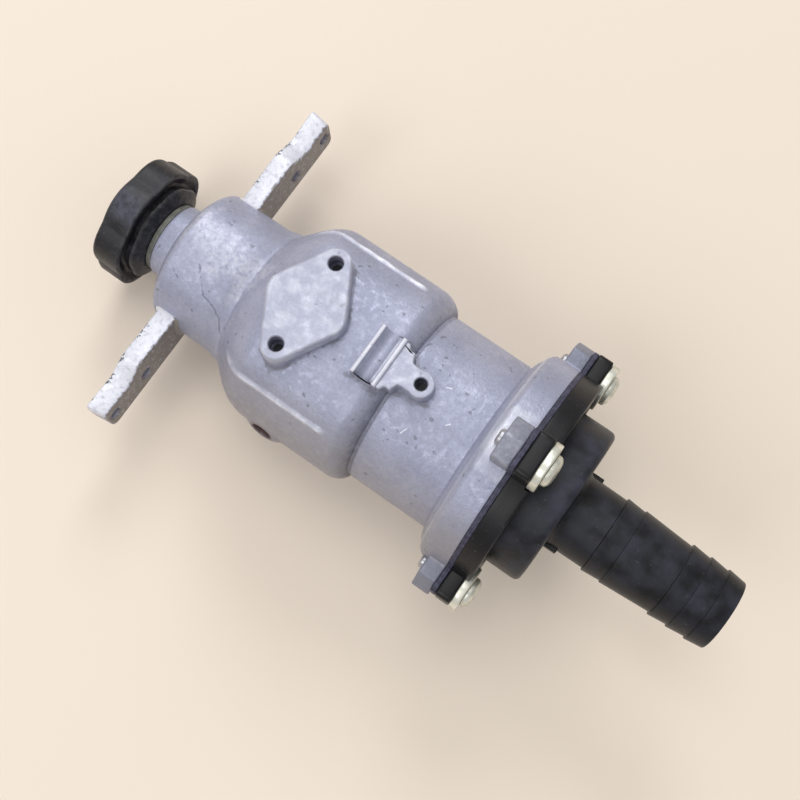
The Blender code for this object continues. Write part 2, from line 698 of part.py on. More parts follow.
def end_cover(parts, cutters):
    finish = material("black_plastic", (0.02, 0.021, 0.025), 0.45)
    outline = flange_outline(FLANGE_RADIUS, LUG_OUTER_RADIUS, LUG_HALF_WIDTH)
    cover = prism("end_cover", outline, COVER_FACE, LUG_BACK, "X", parts, finish)
    rim_outline = arc((0, 0), FLANGE_RADIUS, 0, 360 - 360 / ROUND, ROUND - 1)
    rim = prism("cover_rim", rim_outline, COVER_FACE + 0.8, RIM_BACK, "X", cutters)
    boolean(cover, rim, "UNION")
    groove_radius = COVER_BOSS_RADIUS + COVER_GROOVE_WIDTH
    groove = turned(
        "cover_groove",
        [(RIM_BACK - COVER_GROOVE_DEPTH, groove_radius), (RIM_BACK + 1.0, groove_radius)],
        cutters,
    )
    boolean(cover, groove, "DIFFERENCE")
    boolean(cover, turned("cover_spigot", cover_profile(), cutters), "UNION")
    ribs = bmesh.new()
    reach = 2 * (BARB_BASE_RADIUS + BARB_RIB_HEIGHT)
    place = Matrix.Translation(Vector((COVER_BOSS_END + BARB_RIB_LENGTH / 2, 0, 0)) * MM)
    size = Matrix.Diagonal((BARB_RIB_LENGTH * MM + 0.001, reach * MM, BARB_RIB_WIDTH * MM, 1.0))
    bmesh.ops.create_cube(ribs, size=1.0, matrix=place @ size)
    boolean(cover, from_bmesh("barb_ribs", ribs, cutters), "UNION")
    hollow = turned(
        "cover_hollow",
        [
            (COVER_FACE - 1.0, VALVE_PLATE_RADIUS + SEAT_GAP),
            (PLATE_BACK + SEAT_GAP, VALVE_PLATE_RADIUS + SEAT_GAP),
            (PLATE_BACK + SEAT_GAP, COVER_CHAMBER_RADIUS),
            (COVER_CHAMBER_END, COVER_CHAMBER_RADIUS),
            (COVER_CHAMBER_END, BARB_BORE_RADIUS),
            (COLLAR_TO_TIP + 1.0, BARB_BORE_RADIUS),
        ],
        cutters,
    )
    boolean(cover, hollow, "DIFFERENCE")
    cuts = bmesh.new()
    for angle in SCREW_ANGLES:
        y, z = screw_place(angle)
        length = COVER_RIM_THICKNESS + 7
        cylinder_in(cuts, (COVER_FACE - 1, y, z), (1, 0, 0), SCREW_RADIUS + SEAT_GAP, length, 12)
    boolean(cover, from_bmesh("cover_screw_holes", cuts, cutters), "DIFFERENCE")
    faces = bmesh.new()
    for angle in SCREW_ANGLES:
        y, z = screw_place(angle)
        cylinder_in(faces, (LUG_BACK, y, z), (1, 0, 0), WASHER_RADIUS + SPOT_FACE_MARGIN, 6, 28)
    boolean(cover, from_bmesh("cover_spot_faces", faces, cutters), "DIFFERENCE")
    return cover


def cover_gasket(parts, cutters):
    finish = material("gasket_rubber", (0.07, 0.065, 0.10), 0.7)
    reach = LUG_OUTER_RADIUS - GASKET_INSET
    outline = flange_outline(FLANGE_RADIUS, reach, LUG_HALF_WIDTH - GASKET_INSET)
    gasket = prism("cover_gasket", outline, GASKET_START, GASKET_START + GASKET_THICKNESS, "X", parts, finish)
    cuts = bmesh.new()
    start = (GASKET_START - 1, 0, 0)
    cylinder_in(cuts, start, (1, 0, 0), LINER_BORE_RADIUS + 0.4, GASKET_THICKNESS + 2, ROUND)
    for angle in SCREW_ANGLES:
        y, z = screw_place(angle)
        start = (GASKET_START - 1, y, z)
        cylinder_in(cuts, start, (1, 0, 0), SCREW_RADIUS + SEAT_GAP, GASKET_THICKNESS + 2, 12)
    boolean(gasket, from_bmesh("gasket_holes", cuts, cutters), "DIFFERENCE")
    return gasket


# Fasteners


def cover_screws(parts, cutters):
    """Four pan-head screws, each with a cross recess."""
    finish = material("zinc_screw", (0.72, 0.72, 0.66), 0.35, 0.9)
    start = HEAD_START - SCREW_LENGTH
    top = HEAD_START + HEAD_HEIGHT
    profile = [
        (start, SCREW_RADIUS - 0.5),
        (start + 0.5, SCREW_RADIUS),
        (HEAD_START, SCREW_RADIUS),
        (HEAD_START, HEAD_RADIUS),
        (top - 1.0, HEAD_RADIUS),
        (top - 0.35, HEAD_RADIUS - 1.0),
        (top, HEAD_RADIUS - 2.2),
    ]
    wide = RECESS_WIDTH / 2
    reach = RECESS_LENGTH / 2
    quarter = [(reach, -wide), (reach, wide), (wide, wide)]
    for number, angle in enumerate(SCREW_ANGLES, 1):
        y, z = screw_place(angle)
        screw = turned(f"cover_screw_{number}", profile, parts, finish, steps=16)
        screw.location = (0.0, y * MM, z * MM)
        cross = []
        for turn in range(4):
            spin = Matrix.Rotation(angle + 0.5 + turn * math.pi / 2, 2)
            cross += [tuple(spin @ Vector(point) + Vector((y, z))) for point in quarter]
        recess = prism(f"screw_recess_{number}", cross, top - RECESS_DEPTH, top + 1.0, "X", cutters)
        boolean(screw, recess, "DIFFERENCE")


def cover_washers(parts):
    """A flat washer with lightly rounded edges under each screw head."""
    finish = material("zinc_washer", (0.70, 0.70, 0.62), 0.4, 0.8)
    edge = 0.25
    end = WASHER_START + WASHER_THICKNESS
    bore = SCREW_RADIUS + SEAT_GAP
    for number, angle in enumerate(SCREW_ANGLES, 1):
        y, z = screw_place(angle)
        washer = turned(
            f"cover_washer_{number}",
            [
                (WASHER_START, WASHER_RADIUS - edge),
                (WASHER_START + edge, WASHER_RADIUS),
                (end - edge, WASHER_RADIUS),
                (end, WASHER_RADIUS - edge),
            ],
            parts,
            finish,
            [(WASHER_START, bore), (end, bore)],
            steps=SMALL,
        )
        washer.location = (0.0, y * MM, z * MM)


# Cylinder and foot valve


def cylinder_liner(parts):
    finish = material("liner_brass", (0.62, 0.47, 0.2), 0.3, 1.0)
    outer = LINER_BORE_RADIUS + LINER_WALL
    lip_back = BODY_END - SEAT_GAP
    return turned(
        "cylinder_liner",
        [
            (LINER_FRONT, outer - 0.3),
            (LINER_FRONT + 0.3, outer),
            (lip_back - LINER_LIP_THICKNESS, outer),
            (lip_back - LINER_LIP_THICKNESS, LINER_LIP_RADIUS),
            (lip_back, LINER_LIP_RADIUS),
        ],
        parts,
        finish,
        [(LINER_FRONT, LINER_BORE_RADIUS), (lip_back, LINER_BORE_RADIUS)],
    )


def round_ports(name, start, length, radius, circle, cutters):
    ports = bmesh.new()
    for turn in range(PORT_COUNT):
        angle = math.tau * turn / PORT_COUNT
        centre = (start, circle * math.cos(angle), circle * math.sin(angle))
        cylinder_in(ports, centre, (1, 0, 0), radius, length, 12)
    return from_bmesh(name, ports, cutters)


def valve_plate(parts, cutters):
    finish = material("valve_plate_plastic", (0.75, 0.74, 0.68), 0.5)
    plate = turned(
        "valve_plate",
        [(COVER_FACE, VALVE_PLATE_RADIUS), (PLATE_BACK, VALVE_PLATE_RADIUS)],
        parts,
        finish,
        [(COVER_FACE, FOOT_BOLT_RADIUS + SEAT_GAP), (PLATE_BACK, FOOT_BOLT_RADIUS + SEAT_GAP)],
    )
    length = VALVE_PLATE_THICKNESS + 2
    ports = round_ports("plate_ports", COVER_FACE - 1, length, FOOT_PORT_RADIUS, FOOT_PORT_CIRCLE, cutters)
    boolean(plate, ports, "DIFFERENCE")
    return plate


def foot_valve_disc(parts):
    finish = material("valve_rubber", (0.03, 0.03, 0.032), 0.75)
    end = FOOT_VALVE_START + VALVE_THICKNESS
    bore = FOOT_BOLT_RADIUS + RUNNING_GAP + 0.1
    return turned(
        "foot_valve_disc",
        [(FOOT_VALVE_START, FOOT_VALVE_RADIUS - 0.3), (end, FOOT_VALVE_RADIUS)],
        parts,
        finish,
        [(FOOT_VALVE_START, bore), (end, bore)],
    )


def foot_valve_bolt(parts):
    finish = material("bolt_steel", (0.6, 0.6, 0.6), 0.3, 1.0)
    head_front = FOOT_HEAD_BACK - PLATE_THIN
    end = FOOT_NUT_START + FOOT_NUT_THICKNESS + 0.6
    return turned(
        "foot_valve_bolt",
        [
            (head_front, FOOT_HEAD_RADIUS - 0.4),
            (head_front + 0.4, FOOT_HEAD_RADIUS),
            (FOOT_HEAD_BACK, FOOT_HEAD_RADIUS),
            (FOOT_HEAD_BACK, FOOT_BOLT_RADIUS),
            (end, FOOT_BOLT_RADIUS),
        ],
        parts,
        finish,
        steps=SMALL,
    )


def hex_nut(name, start, thickness, flats, bore, parts, cutters, finish):
    corner = flats / math.sqrt(3)
    outline = arc((0, 0), corner, 0, 300, 5)
    nut = prism(name, outline, start, start + thickness, "X", parts, finish)
    hole = bmesh.new()
    cylinder_in(hole, (start - 1, 0, 0), (1, 0, 0), bore, thickness + 2, SMALL)
    boolean(nut, from_bmesh(name + "_bore", hole, cutters), "DIFFERENCE")
    return nut


def ring_piece(name, start, end, inner, outer, parts, finish, steps=ROUND):
    return turned(name, [(start, outer), (end, outer)], parts, finish, [(start, inner), (end, inner)], steps)


# Gland in the collar


def rod_seal(parts):
    finish = material("seal_rubber", (0.025, 0.025, 0.028), 0.6)
    middle = (GLAND_RADIUS + ROD_RADIUS) / 2
    thick = (GLAND_RADIUS - ROD_RADIUS) / 2 - SEAT_GAP
    centre = GLAND_START + SEAT_GAP + thick
    bpy.ops.mesh.primitive_torus_add(
        major_radius=middle * MM,
        minor_radius=thick * MM,
        major_segments=SMALL,
        minor_segments=8,
        location=(centre * MM, 0, 0),
        rotation=(0, math.pi / 2, 0),
    )
    seal = bpy.context.object
    seal.name = "rod_seal"
    seal.data.materials.append(finish)
    for collection in list(seal.users_collection):
        collection.objects.unlink(seal)
    parts.objects.link(seal)
    return seal, centre + thick + SEAT_GAP


def gland_bush(parts, start):
    finish = material("bush_acetal", (0.8, 0.79, 0.74), 0.4)
    end = CIRCLIP_FRONT - 0.1
    outer = GLAND_RADIUS - SEAT_GAP
    return ring_piece("gland_bush", start, end, ROD_RADIUS + RUNNING_GAP, outer, parts, finish, SMALL)


def gland_circlip(parts, cutters):
    finish = material("circlip_steel", (0.35, 0.35, 0.36), 0.35, 1.0)
    start = CIRCLIP_FRONT + SEAT_GAP
    end = start + CIRCLIP_THICKNESS
    outer = GLAND_RADIUS + CIRCLIP_GROOVE_DEPTH - SEAT_GAP - 0.05
    clip = ring_piece("gland_circlip", start, end, CIRCLIP_BORE_RADIUS, outer, parts, finish, SMALL)
    gap = bmesh.new()
    place = Matrix.Translation(Vector((start, 0, GLAND_RADIUS)) * MM)
    size = Matrix.Diagonal((4 * MM, CIRCLIP_GAP_WIDTH * MM, 6 * MM, 1.0))
    bmesh.ops.create_cube(gap, size=1.0, matrix=place @ size)
    boolean(clip, from_bmesh("circlip_gap", gap, cutters), "DIFFERENCE")
    return clip


# Plunger


def plunger_rod(parts):
    finish = material("rod_steel", (0.62, 0.62, 0.63), 0.2, 1.0)
    start = INSERT_START - 1.2
    step = HUB_END
    return turned(
        "plunger_rod",
        [
            (start, ROD_THREAD_RADIUS - 0.4),
            (start + 0.4, ROD_THREAD_RADIUS),
            (step, ROD_THREAD_RADIUS),
            (step, ROD_RADIUS),
            (ROD_SHOULDER_X, ROD_RADIUS),
            (ROD_SHOULDER_X, ROD_THREAD_RADIUS),
            (ROD_END - 0.4, ROD_THREAD_RADIUS),
            (ROD_END, ROD_THREAD_RADIUS - 0.4),
        ],
        parts,
        finish,
        steps=SMALL,
    )


def piston(parts, cutters):
    finish = material("piston_acetal", (0.82, 0.81, 0.76), 0.45)
    groove = RING_GROOVE_RADIUS
    bore = ROD_THREAD_RADIUS + SEAT_GAP
    piece = turned(
        "piston",
        [
            (HUB_FRONT, PISTON_HUB_RADIUS),
            (PISTON_FRONT, PISTON_HUB_RADIUS),
            (PISTON_FRONT, PISTON_RADIUS - 0.4),
            (PISTON_FRONT + 0.4, PISTON_RADIUS),
            (SEAL_START - SEAT_GAP, PISTON_RADIUS),
            (SEAL_START - SEAT_GAP, groove),
            (SEAL_START + SEAL_WIDTH + SEAT_GAP, groove),
            (SEAL_START + SEAL_WIDTH + SEAT_GAP, PISTON_RADIUS),
            (GUIDE_START - SEAT_GAP, PISTON_RADIUS),
            (GUIDE_START - SEAT_GAP, groove),
            (GUIDE_START + GUIDE_WIDTH + SEAT_GAP, groove),
            (GUIDE_START + GUIDE_WIDTH + SEAT_GAP, PISTON_RADIUS),
            (PISTON_BACK - 0.4, PISTON_RADIUS),
            (PISTON_BACK, PISTON_RADIUS - 0.4),
        ],
        parts,
        finish,
        [(HUB_FRONT, bore), (PISTON_BACK, bore)],
    )
    length = PISTON_LENGTH + 2
    ports = round_ports(
        "piston_ports", PISTON_FRONT - 1, length, PISTON_PORT_RADIUS, PISTON_PORT_CIRCLE, cutters
    )
    boolean(piece, ports, "DIFFERENCE")
    return piece


def piston_seal(parts):
    """A rubber ring with a lip: its front face has a groove that lets the water push it outward."""
    finish = material("piston_rubber", (0.03, 0.03, 0.03), 0.65)
    start = SEAL_START
    end = SEAL_START + SEAL_WIDTH
    inner = RING_RADIUS - RING_DEPTH
    middle = RING_RADIUS - RING_DEPTH / 2
    return turned(
        "piston_seal",
        [(start, RING_RADIUS), (end, RING_RADIUS)],
        parts,
        finish,
        [
            (start, middle + 0.7),
            (start + 1.2, middle),
            (start, middle - 0.7),
            (start, inner),
            (end, inner),
        ],
    )


def piston_valve_disc(parts):
    finish = material("piston_valve_rubber", (0.03, 0.03, 0.032), 0.75)
    end = PISTON_VALVE_START + VALVE_THICKNESS
    bore = PISTON_HUB_RADIUS + RUNNING_GAP + 0.1
    return turned(
        "piston_valve_disc",
        [(PISTON_VALVE_START, PISTON_VALVE_RADIUS - 0.3), (end, PISTON_VALVE_RADIUS)],
        parts,
        finish,
        [(PISTON_VALVE_START, bore), (end, bore)],
    )


# Knob


def knob_lobes(angle):
    """From -1 in a valley to 1 on a lobe, with broad lobes and narrow valleys."""
    wave = 0.5 + 0.5 * math.cos(KNOB_LOBES * (angle - math.radians(KNOB_LOBE_ANGLE)))
    return 2 * wave**0.65 - 1


def knob(parts, cutters):
    finish = material("knob_plastic", (0.022, 0.022, 0.025), 0.5)
    back = KNOB_RIM_BACK
    hub = KNOB_HUB_RADIUS
    stations = [
        (KNOB_FRONT, KNOB_RADIUS - 4.6, 0.15),
        (KNOB_FRONT + 0.15, KNOB_RADIUS - 2.6, 0.4),
        (KNOB_FRONT + 0.4, KNOB_RADIUS - 1.0, 0.8),
        (KNOB_FRONT + 0.9, KNOB_RADIUS - 0.3, 0.9),
        (KNOB_FRONT + 1.8, KNOB_RADIUS, 1.0),
        (back - 0.7, KNOB_RADIUS, 1.0),
        (back, KNOB_RADIUS - 0.7, 0.9),
        (back + 0.2, hub + 0.6, 0.5),
        (back + 0.9, hub, 0.4),
        (back + 1.6, hub, 0.4),
        (back + 2.3, hub - 0.9, 0.3),
        (back + 2.9, hub - 2.0, 0.15),
        (HUB_END - 0.2, 10.2, 0.0),
        (HUB_END, 9.6, 0.0),
    ]
    rings = []
    columns = KNOB_LOBES * 8
    for x, radius, share in stations:
        ring = []
        for turn in range(columns):
            angle = math.tau * turn / columns
            reach = radius + KNOB_LOBE * share * knob_lobes(angle)
            ring.append((x, reach * math.cos(angle), reach * math.sin(angle)))
        rings.append(ring)
    piece = loft("knob", rings, parts, finish)
    pocket = turned(
        "knob_pocket",
        [
            (INSERT_START - 1.8, ROD_THREAD_RADIUS + SEAT_GAP),
            (INSERT_START - SEAT_GAP, ROD_THREAD_RADIUS + SEAT_GAP),
            (INSERT_START - SEAT_GAP, INSERT_RADIUS + SEAT_GAP),
            (HUB_END + 1.0, INSERT_RADIUS + SEAT_GAP),
        ],
        cutters,
    )
    boolean(piece, pocket, "DIFFERENCE")
    return piece


def build_gland_and_cylinder(parts, cutters):
    seal, bush_start = rod_seal(parts)
    gland_bush(parts, bush_start)
    gland_circlip(parts, cutters)
    bump_rubber = material("bump_rubber", (0.20, 0.20, 0.15), 0.7)
    bump_bore = ROD_RADIUS + RUNNING_GAP + 0.1
    bump_radius = COLLAR_RADIUS - BUMP_WASHER_INSET
    ring_piece("knob_washer", BUMP_WASHER_START, -SEAT_GAP, bump_bore, bump_radius, parts, bump_rubber)
    cylinder_liner(parts)


def build_foot_valve(parts, cutters):
    valve_plate(parts, cutters)
    foot_valve_disc(parts)
    foot_valve_bolt(parts)
    steel = material("foot_nut_steel", (0.6, 0.6, 0.6), 0.3, 1.0)
    bore = FOOT_BOLT_RADIUS + SEAT_GAP
    hex_nut(
        "foot_valve_nut", FOOT_NUT_START, FOOT_NUT_THICKNESS, FOOT_NUT_FLATS, bore, parts, cutters, steel
    )


def build_plunger(parts, cutters):
    steel = material("washer_steel", (0.6, 0.6, 0.6), 0.3, 1.0)
    brass = material("insert_brass", (0.65, 0.5, 0.22), 0.3, 1.0)
    guide = material("guide_ptfe", (0.85, 0.85, 0.82), 0.5)
    bore = ROD_THREAD_RADIUS + SEAT_GAP
    plunger_rod(parts)
    knob(parts, cutters)
    ring_piece("knob_insert", INSERT_START, INSERT_END, bore, INSERT_RADIUS, parts, brass, SMALL)
    piston(parts, cutters)
    piston_seal(parts)
    end = GUIDE_START + GUIDE_WIDTH
    ring_piece("piston_guide_ring", GUIDE_START, end, RING_RADIUS - RING_DEPTH, RING_RADIUS, parts, guide)
    piston_valve_disc(parts)
    stop_start = ROD_SHOULDER_X + SEAT_GAP
    stop_end = stop_start + PLATE_THIN
    ring_piece("valve_stop_washer", stop_start, stop_end, bore, VALVE_STOP_RADIUS, parts, steel, SMALL)
    washer_start = PISTON_BACK + SEAT_GAP
    washer_end = washer_start + PLATE_THIN
    ring_piece("piston_washer", washer_start, washer_end, bore, PISTON_WASHER_RADIUS, parts, steel, SMALL)
    nut_steel = material("piston_nut_steel", (0.6, 0.6, 0.6), 0.3, 1.0)
    hex_nut("piston_nut", NUT_START, NUT_THICKNESS, NUT_FLATS, bore, parts, cutters, nut_steel)


def main():
    clear_scene()
    parts = new_collection("manual_bilge_pump")
    cutters = new_collection("cutters", hidden=True)
    pump_body(parts, cutters)
    build_gland_and_cylinder(parts, cutters)
    build_plunger(parts, cutters)
    end_cover(parts, cutters)
    cover_gasket(parts, cutters)
    build_foot_valve(parts, cutters)
    cover_screws(parts, cutters)
    cover_washers(parts)
    for cutter in cutters.objects:
        cutter.hide_render = True
        cutter.display_type = "WIRE"
    middle = bpy.data.objects.new("pump_middle", None)
    middle.location = (-PUMP_MIDDLE * MM, 0.0, 0.0)
    parts.objects.link(middle)
    for piece in [*parts.objects, *cutters.objects]:
        if piece is not middle:
            piece.parent = middle


main()
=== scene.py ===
import math

import bmesh
import bpy
import numpy as np
from mathutils import Matrix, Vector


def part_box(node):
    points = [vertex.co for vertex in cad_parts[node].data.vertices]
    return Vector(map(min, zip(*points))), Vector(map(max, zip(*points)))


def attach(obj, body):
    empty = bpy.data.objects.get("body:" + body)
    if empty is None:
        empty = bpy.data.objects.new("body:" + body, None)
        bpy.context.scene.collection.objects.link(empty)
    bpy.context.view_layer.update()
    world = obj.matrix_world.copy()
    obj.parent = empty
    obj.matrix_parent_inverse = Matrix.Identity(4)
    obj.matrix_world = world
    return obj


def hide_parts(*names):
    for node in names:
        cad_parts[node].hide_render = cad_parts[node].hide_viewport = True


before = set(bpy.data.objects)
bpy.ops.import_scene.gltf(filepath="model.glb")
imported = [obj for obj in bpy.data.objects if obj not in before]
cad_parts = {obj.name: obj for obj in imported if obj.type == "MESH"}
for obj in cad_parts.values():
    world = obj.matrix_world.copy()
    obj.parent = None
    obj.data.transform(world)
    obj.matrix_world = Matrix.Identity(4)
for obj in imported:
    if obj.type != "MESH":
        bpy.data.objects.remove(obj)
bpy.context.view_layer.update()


# Pump body: one aluminium casting with a collar, a domed neck, a square-shouldered bulge, a barrel and a
# flange. It is blasted after casting, which leaves a dull lavender-grey skin with a fine grain, and its
# inside is bored from the flange end. Sizes are millimetres from the collar's front face.
COLLAR_FACE = 1000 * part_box("pump_body")[0].x
# Where the collar and the dome end, the bulge rises and falls away, the flange rises and the casting
# ends, and the barrel's radius.
COLLAR_END, DOME_END, BULGE_START, BULGE_END, FLANGE_START, CASTING_END = 4.6, 8.8, 28.0, 64.0, 91.8, 101.6
BARREL_RADIUS = 22.75
# For each axis, which of (along it, first across, second across) becomes x, y and z.
AXES = {"X": [0, 1, 2], "Y": [1, 0, 2], "Z": [1, 2, 0]}
# The radius where a turned shape closes at its axis.
NEEDLE = 0.02


def step(x, low, high):
    """0 before low, 1 after high and the cubic 3 t^2 - 2 t^3 between them."""
    t = np.clip((np.asarray(x, float) - low) / (high - low), 0, 1)
    return t * t * (3 - 2 * t)


def bell(x, middle, width):
    """A bell curve, exp(-((x - middle) / width)^2)."""
    return np.exp(-(((x - middle) / width) ** 2))


def body_radius(x):
    """Half width of the casting at x: straight collar and barrel, powers of a sine for the dome, the front of
    the bulge and the flange, a power curve for the bulge's back, and a fine groove at each of their feet."""
    x = np.asarray(x, float)
    swell = lambda start, length: np.sin(np.clip((x - start) / length, 0, 1) * math.pi / 2)
    collar = 9.4 + 0.4 * x / COLLAR_END
    dome = 9.8 + 8.0 * swell(COLLAR_END, 4.2) ** 0.7
    neck = 17.8 + 0.9 * step(x, 23.0, BULGE_START)
    slope = 18.7 + 7.1 * swell(BULGE_START, 12.0)
    drop = np.sqrt(np.clip(1 - np.clip((x - BULGE_END) / 5.6, 0, 1) ** 2.4, 0, 1))
    drop = BARREL_RADIUS + 3.05 * drop
    flange = BARREL_RADIUS + 5.65 * swell(FLANGE_START, 3.8) ** 0.8
    before = [x < end for end in (COLLAR_END, DOME_END, BULGE_START, BULGE_END, FLANGE_START)]
    radius = np.select(before, [collar, dome, neck, slope, drop], flange)
    return radius - 0.3 * bell(x, 4.75, 0.35) - 0.22 * bell(x, 70.0, 0.35) - 0.35 * bell(x, 93.1, 0.3)


def body_power(x):
    """How square the section is: 2 is a circle, and the bulge is 2.5."""
    return 2.0 + 0.5 * step(x, BULGE_START, 40.0) - 0.5 * step(x, 65.0, 69.6)


def skin_height(x, across):
    """Height of the skin over the axis at x and across it, from |y|^p + |z|^p = R^p."""
    radius, power = body_radius(x), body_power(x)
    return np.clip(radius**power - np.abs(across) ** power, 0, None) ** (1 / power)


def rounded(points, cut, steps, loop=False):
    """Each corner of a line of points becomes a curve (1-s)^2 a + 2 s (1-s) p + s^2 b, where a and b lie
    at most cut before and after the corner p."""
    points = np.asarray(points, float)
    before, after = np.roll(points, 1, 0), np.roll(points, -1, 0)
    length = lambda end: np.linalg.norm(end - points, axis=1)[:, None]
    reach = lambda end: np.minimum(0.48, np.reshape(cut, (-1, 1)) / length(end))
    a = points + (before - points) * reach(before)
    b = points + (after - points) * reach(after)
    s = np.linspace(0, 1, steps + 1)[None, :, None]
    curve = (1 - s) ** 2 * a[:, None] + 2 * s * (1 - s) * points[:, None] + s**2 * b[:, None]
    if loop:
        return curve.reshape(-1, points.shape[1])
    return np.concatenate([points[:1], curve[1:-1].reshape(-1, points.shape[1]), points[-1:]])


def finer(points, longest, loop=False):
    """The same line with points added along it, so that none are further apart than longest."""
    ends = np.roll(points, -1, 0) if loop else points[1:]
    counts = np.maximum(1, np.ceil(np.linalg.norm(ends - points[: len(ends)], axis=1) / longest)).astype(int)
    runs = [a + (b - a) * np.arange(n)[:, None] / n for a, b, n in zip(points, ends, counts)]
    return np.concatenate(runs if loop else [*runs, points[-1:]])


def shell(grid, loop):
    """A closed skin over a grid (rows, columns, xyz): columns always join up, and rows either join up too
    or end in a flat face."""
    rows, columns = grid.shape[:2]
    index = np.arange(rows * columns).reshape(rows, columns)
    front, back = (index, np.roll(index, -1, 0)) if loop else (index[:-1], index[1:])
    faces = np.stack([front, np.roll(front, -1, 1), np.roll(back, -1, 1), back], -1).reshape(-1, 4).tolist()
    if not loop:
        faces += [index[0].tolist(), index[-1][::-1].tolist()]
    return grid.reshape(-1, 3), faces


def turned(profile, steps, axis="X", centre=(0.0, 0.0), loop=True):
    """A turned shape: each (along, r) of the profile becomes the circle (along, r cos t, r sin t)."""
    t = np.linspace(0, math.tau, steps, endpoint=False)
    along, radius = np.asarray(profile, float).T[:, :, None]
    grid = np.stack([along + 0 * t, centre[0] + radius * np.cos(t), centre[1] + radius * np.sin(t)], -1)
    return shell(grid[..., AXES[axis]], loop)


def plug(profile, steps, axis, centre=(0.0, 0.0)):
    """A turned shape whose profile is closed to its axis at both ends, to cut a hole with."""
    closed = [(profile[0][0], NEEDLE), *profile, (profile[-1][0], NEEDLE)]
    return turned(closed, steps, axis, centre, loop=False)


def mitre(outline):
    """The step outwards at each point of an outline that runs anticlockwise, long enough at a corner that
    both edges move by 1: (m + n) / (1 + m.n) for edge normals m and n."""
    along = np.roll(outline, -1, 0) - outline
    after = np.stack([along[:, 1], -along[:, 0]], -1) / np.linalg.norm(along, axis=1)[:, None]
    before = np.roll(after, 1, 0)
    return (before + after) / (1 + (before * after).sum(1, keepdims=True))


def slab(outline, low, high, axis, edge):
    """An outline pushed from low to high along an axis, its two rims rounded over by a quarter circle."""
    t = np.linspace(0, math.pi / 2, 5)
    inset = np.r_[edge + 0.06, edge * (1 - np.sin(t))]
    rise = np.r_[0, edge * (1 - np.cos(t))]
    inset = np.r_[inset, inset[::-1]][:, None, None]
    height = np.r_[low + rise, (high - rise)[::-1]][:, None, None]
    rings = outline[None] - inset * mitre(outline)[None]
    grid = np.concatenate([height + 0 * rings[..., :1], rings], -1)
    return shell(grid[..., AXES[axis]], False)


def fillet(outline, radius, axis="Z"):
    """A hollow quarter round of this radius where a raised shape of this outline meets the casting's skin:
    out by r (1 - cos t) and up by r (1 - sin t)."""
    t = np.linspace(0, math.pi / 2, 6)
    out = np.r_[radius * (1 - np.cos(t)) - 0.03, radius, -0.5, -0.5][:, None, None]
    up = np.r_[radius * (1 - np.sin(t)) - 0.02, -0.6, -0.6, radius - 0.1][:, None]
    rings = outline[None] + out * mitre(outline)[None]
    along = (skin_height(rings[..., 0], rings[..., 1]) + up)[..., None]
    return shell(np.concatenate([along, rings], -1)[..., AXES[axis]], True)


def join(*shapes):
    """Several shells as one."""
    starts = np.cumsum([0] + [len(points) for points, _ in shapes])
    faces = [[i + start for i in face] for (_, group), start in zip(shapes, starts) for face in group]
    return np.concatenate([points for points, _ in shapes]), faces


def mesh_of(name, shape):
    """Blender's mesh of a shell, moved from the collar's frame to the model's and turned outwards."""
    points, faces = shape
    mesh = bpy.data.meshes.new(name)
    mesh.from_pydata(((points + [COLLAR_FACE, 0, 0]) * 0.001).tolist(), [], faces)
    work = bmesh.new()
    work.from_mesh(mesh)
    bmesh.ops.recalc_face_normals(work, faces=work.faces)
    work.to_mesh(mesh)
    work.free()
    return mesh


def carve(shape, *cutters):
    """A shell with other shells cut out of it."""
    made = [bpy.data.objects.new("cut", mesh_of("cut", part)) for part in (shape, *cutters)]
    for thing in made:
        bpy.context.scene.collection.objects.link(thing)
    for cutter in made[1:]:
        cut = made[0].modifiers.new("cut", "BOOLEAN")
        cut.operation, cut.solver, cut.object = "DIFFERENCE", "EXACT", cutter
    mesh = bpy.data.meshes.new_from_object(made[0].evaluated_get(bpy.context.evaluated_depsgraph_get()))
    points = np.empty(3 * len(mesh.vertices), np.float32)
    mesh.vertices.foreach_get("co", points)
    corners = np.empty(len(mesh.loops), np.int32)
    mesh.loops.foreach_get("vertex_index", corners)
    starts = np.empty(len(mesh.polygons), np.int32)
    mesh.polygons.foreach_get("loop_start", starts)
    faces = [run.tolist() for run in np.split(corners, starts[1:])]
    for thing in made:
        bpy.data.objects.remove(thing)
    return points.reshape(-1, 3).astype(float) * 1000 - [COLLAR_FACE, 0, 0], faces


CREASE = math.radians(32)


def piece(name, shape, material, body, nodes=(), wear_and_highlight=None):
    """A visible piece from a shell: smooth but for creases, with its finish, riding on a body of the model.
    It stands for these nodes. The last argument gives how strongly each of its points is painted paler, as
    wear and as painted highlight."""
    mesh = mesh_of(name, shape)
    if wear_and_highlight is not None:
        mesh.attributes.new("wear_and_highlight", "FLOAT", "POINT").data.foreach_set("value", wear_and_highlight)
    mesh.materials.append(material)
    mesh.polygons.foreach_set("use_smooth", np.ones(len(mesh.polygons), bool))
    mesh.set_sharp_from_angle(angle=CREASE)
    made = bpy.data.objects.new(name, mesh)
    bpy.context.scene.collection.objects.link(made)
    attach(made, body)
    if nodes:
        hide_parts(*nodes)


def node(tree, kind, inputs={}, **settings):
    """A shader node with its settings, and each input either a number or another node's output."""
    made = tree.nodes.new("ShaderNode" + kind)
    for key, value in settings.items():
        setattr(made, key, value)
    for key, value in inputs.items():
        if isinstance(value, bpy.types.NodeSocket):
            tree.links.new(value, made.inputs[key])
        else:
            made.inputs[key].default_value = value
    return made


def maths(tree, operation, *values):
    """One step of arithmetic."""
    return node(tree, "Math", dict(enumerate(values)), operation=operation).outputs[0]


def vectors(tree, operation, *values):
    """One step of arithmetic on vectors. Gives the node's outputs, of which "Value" is a plain number."""
    return node(tree, "VectorMath", dict(enumerate(values)), operation=operation).outputs


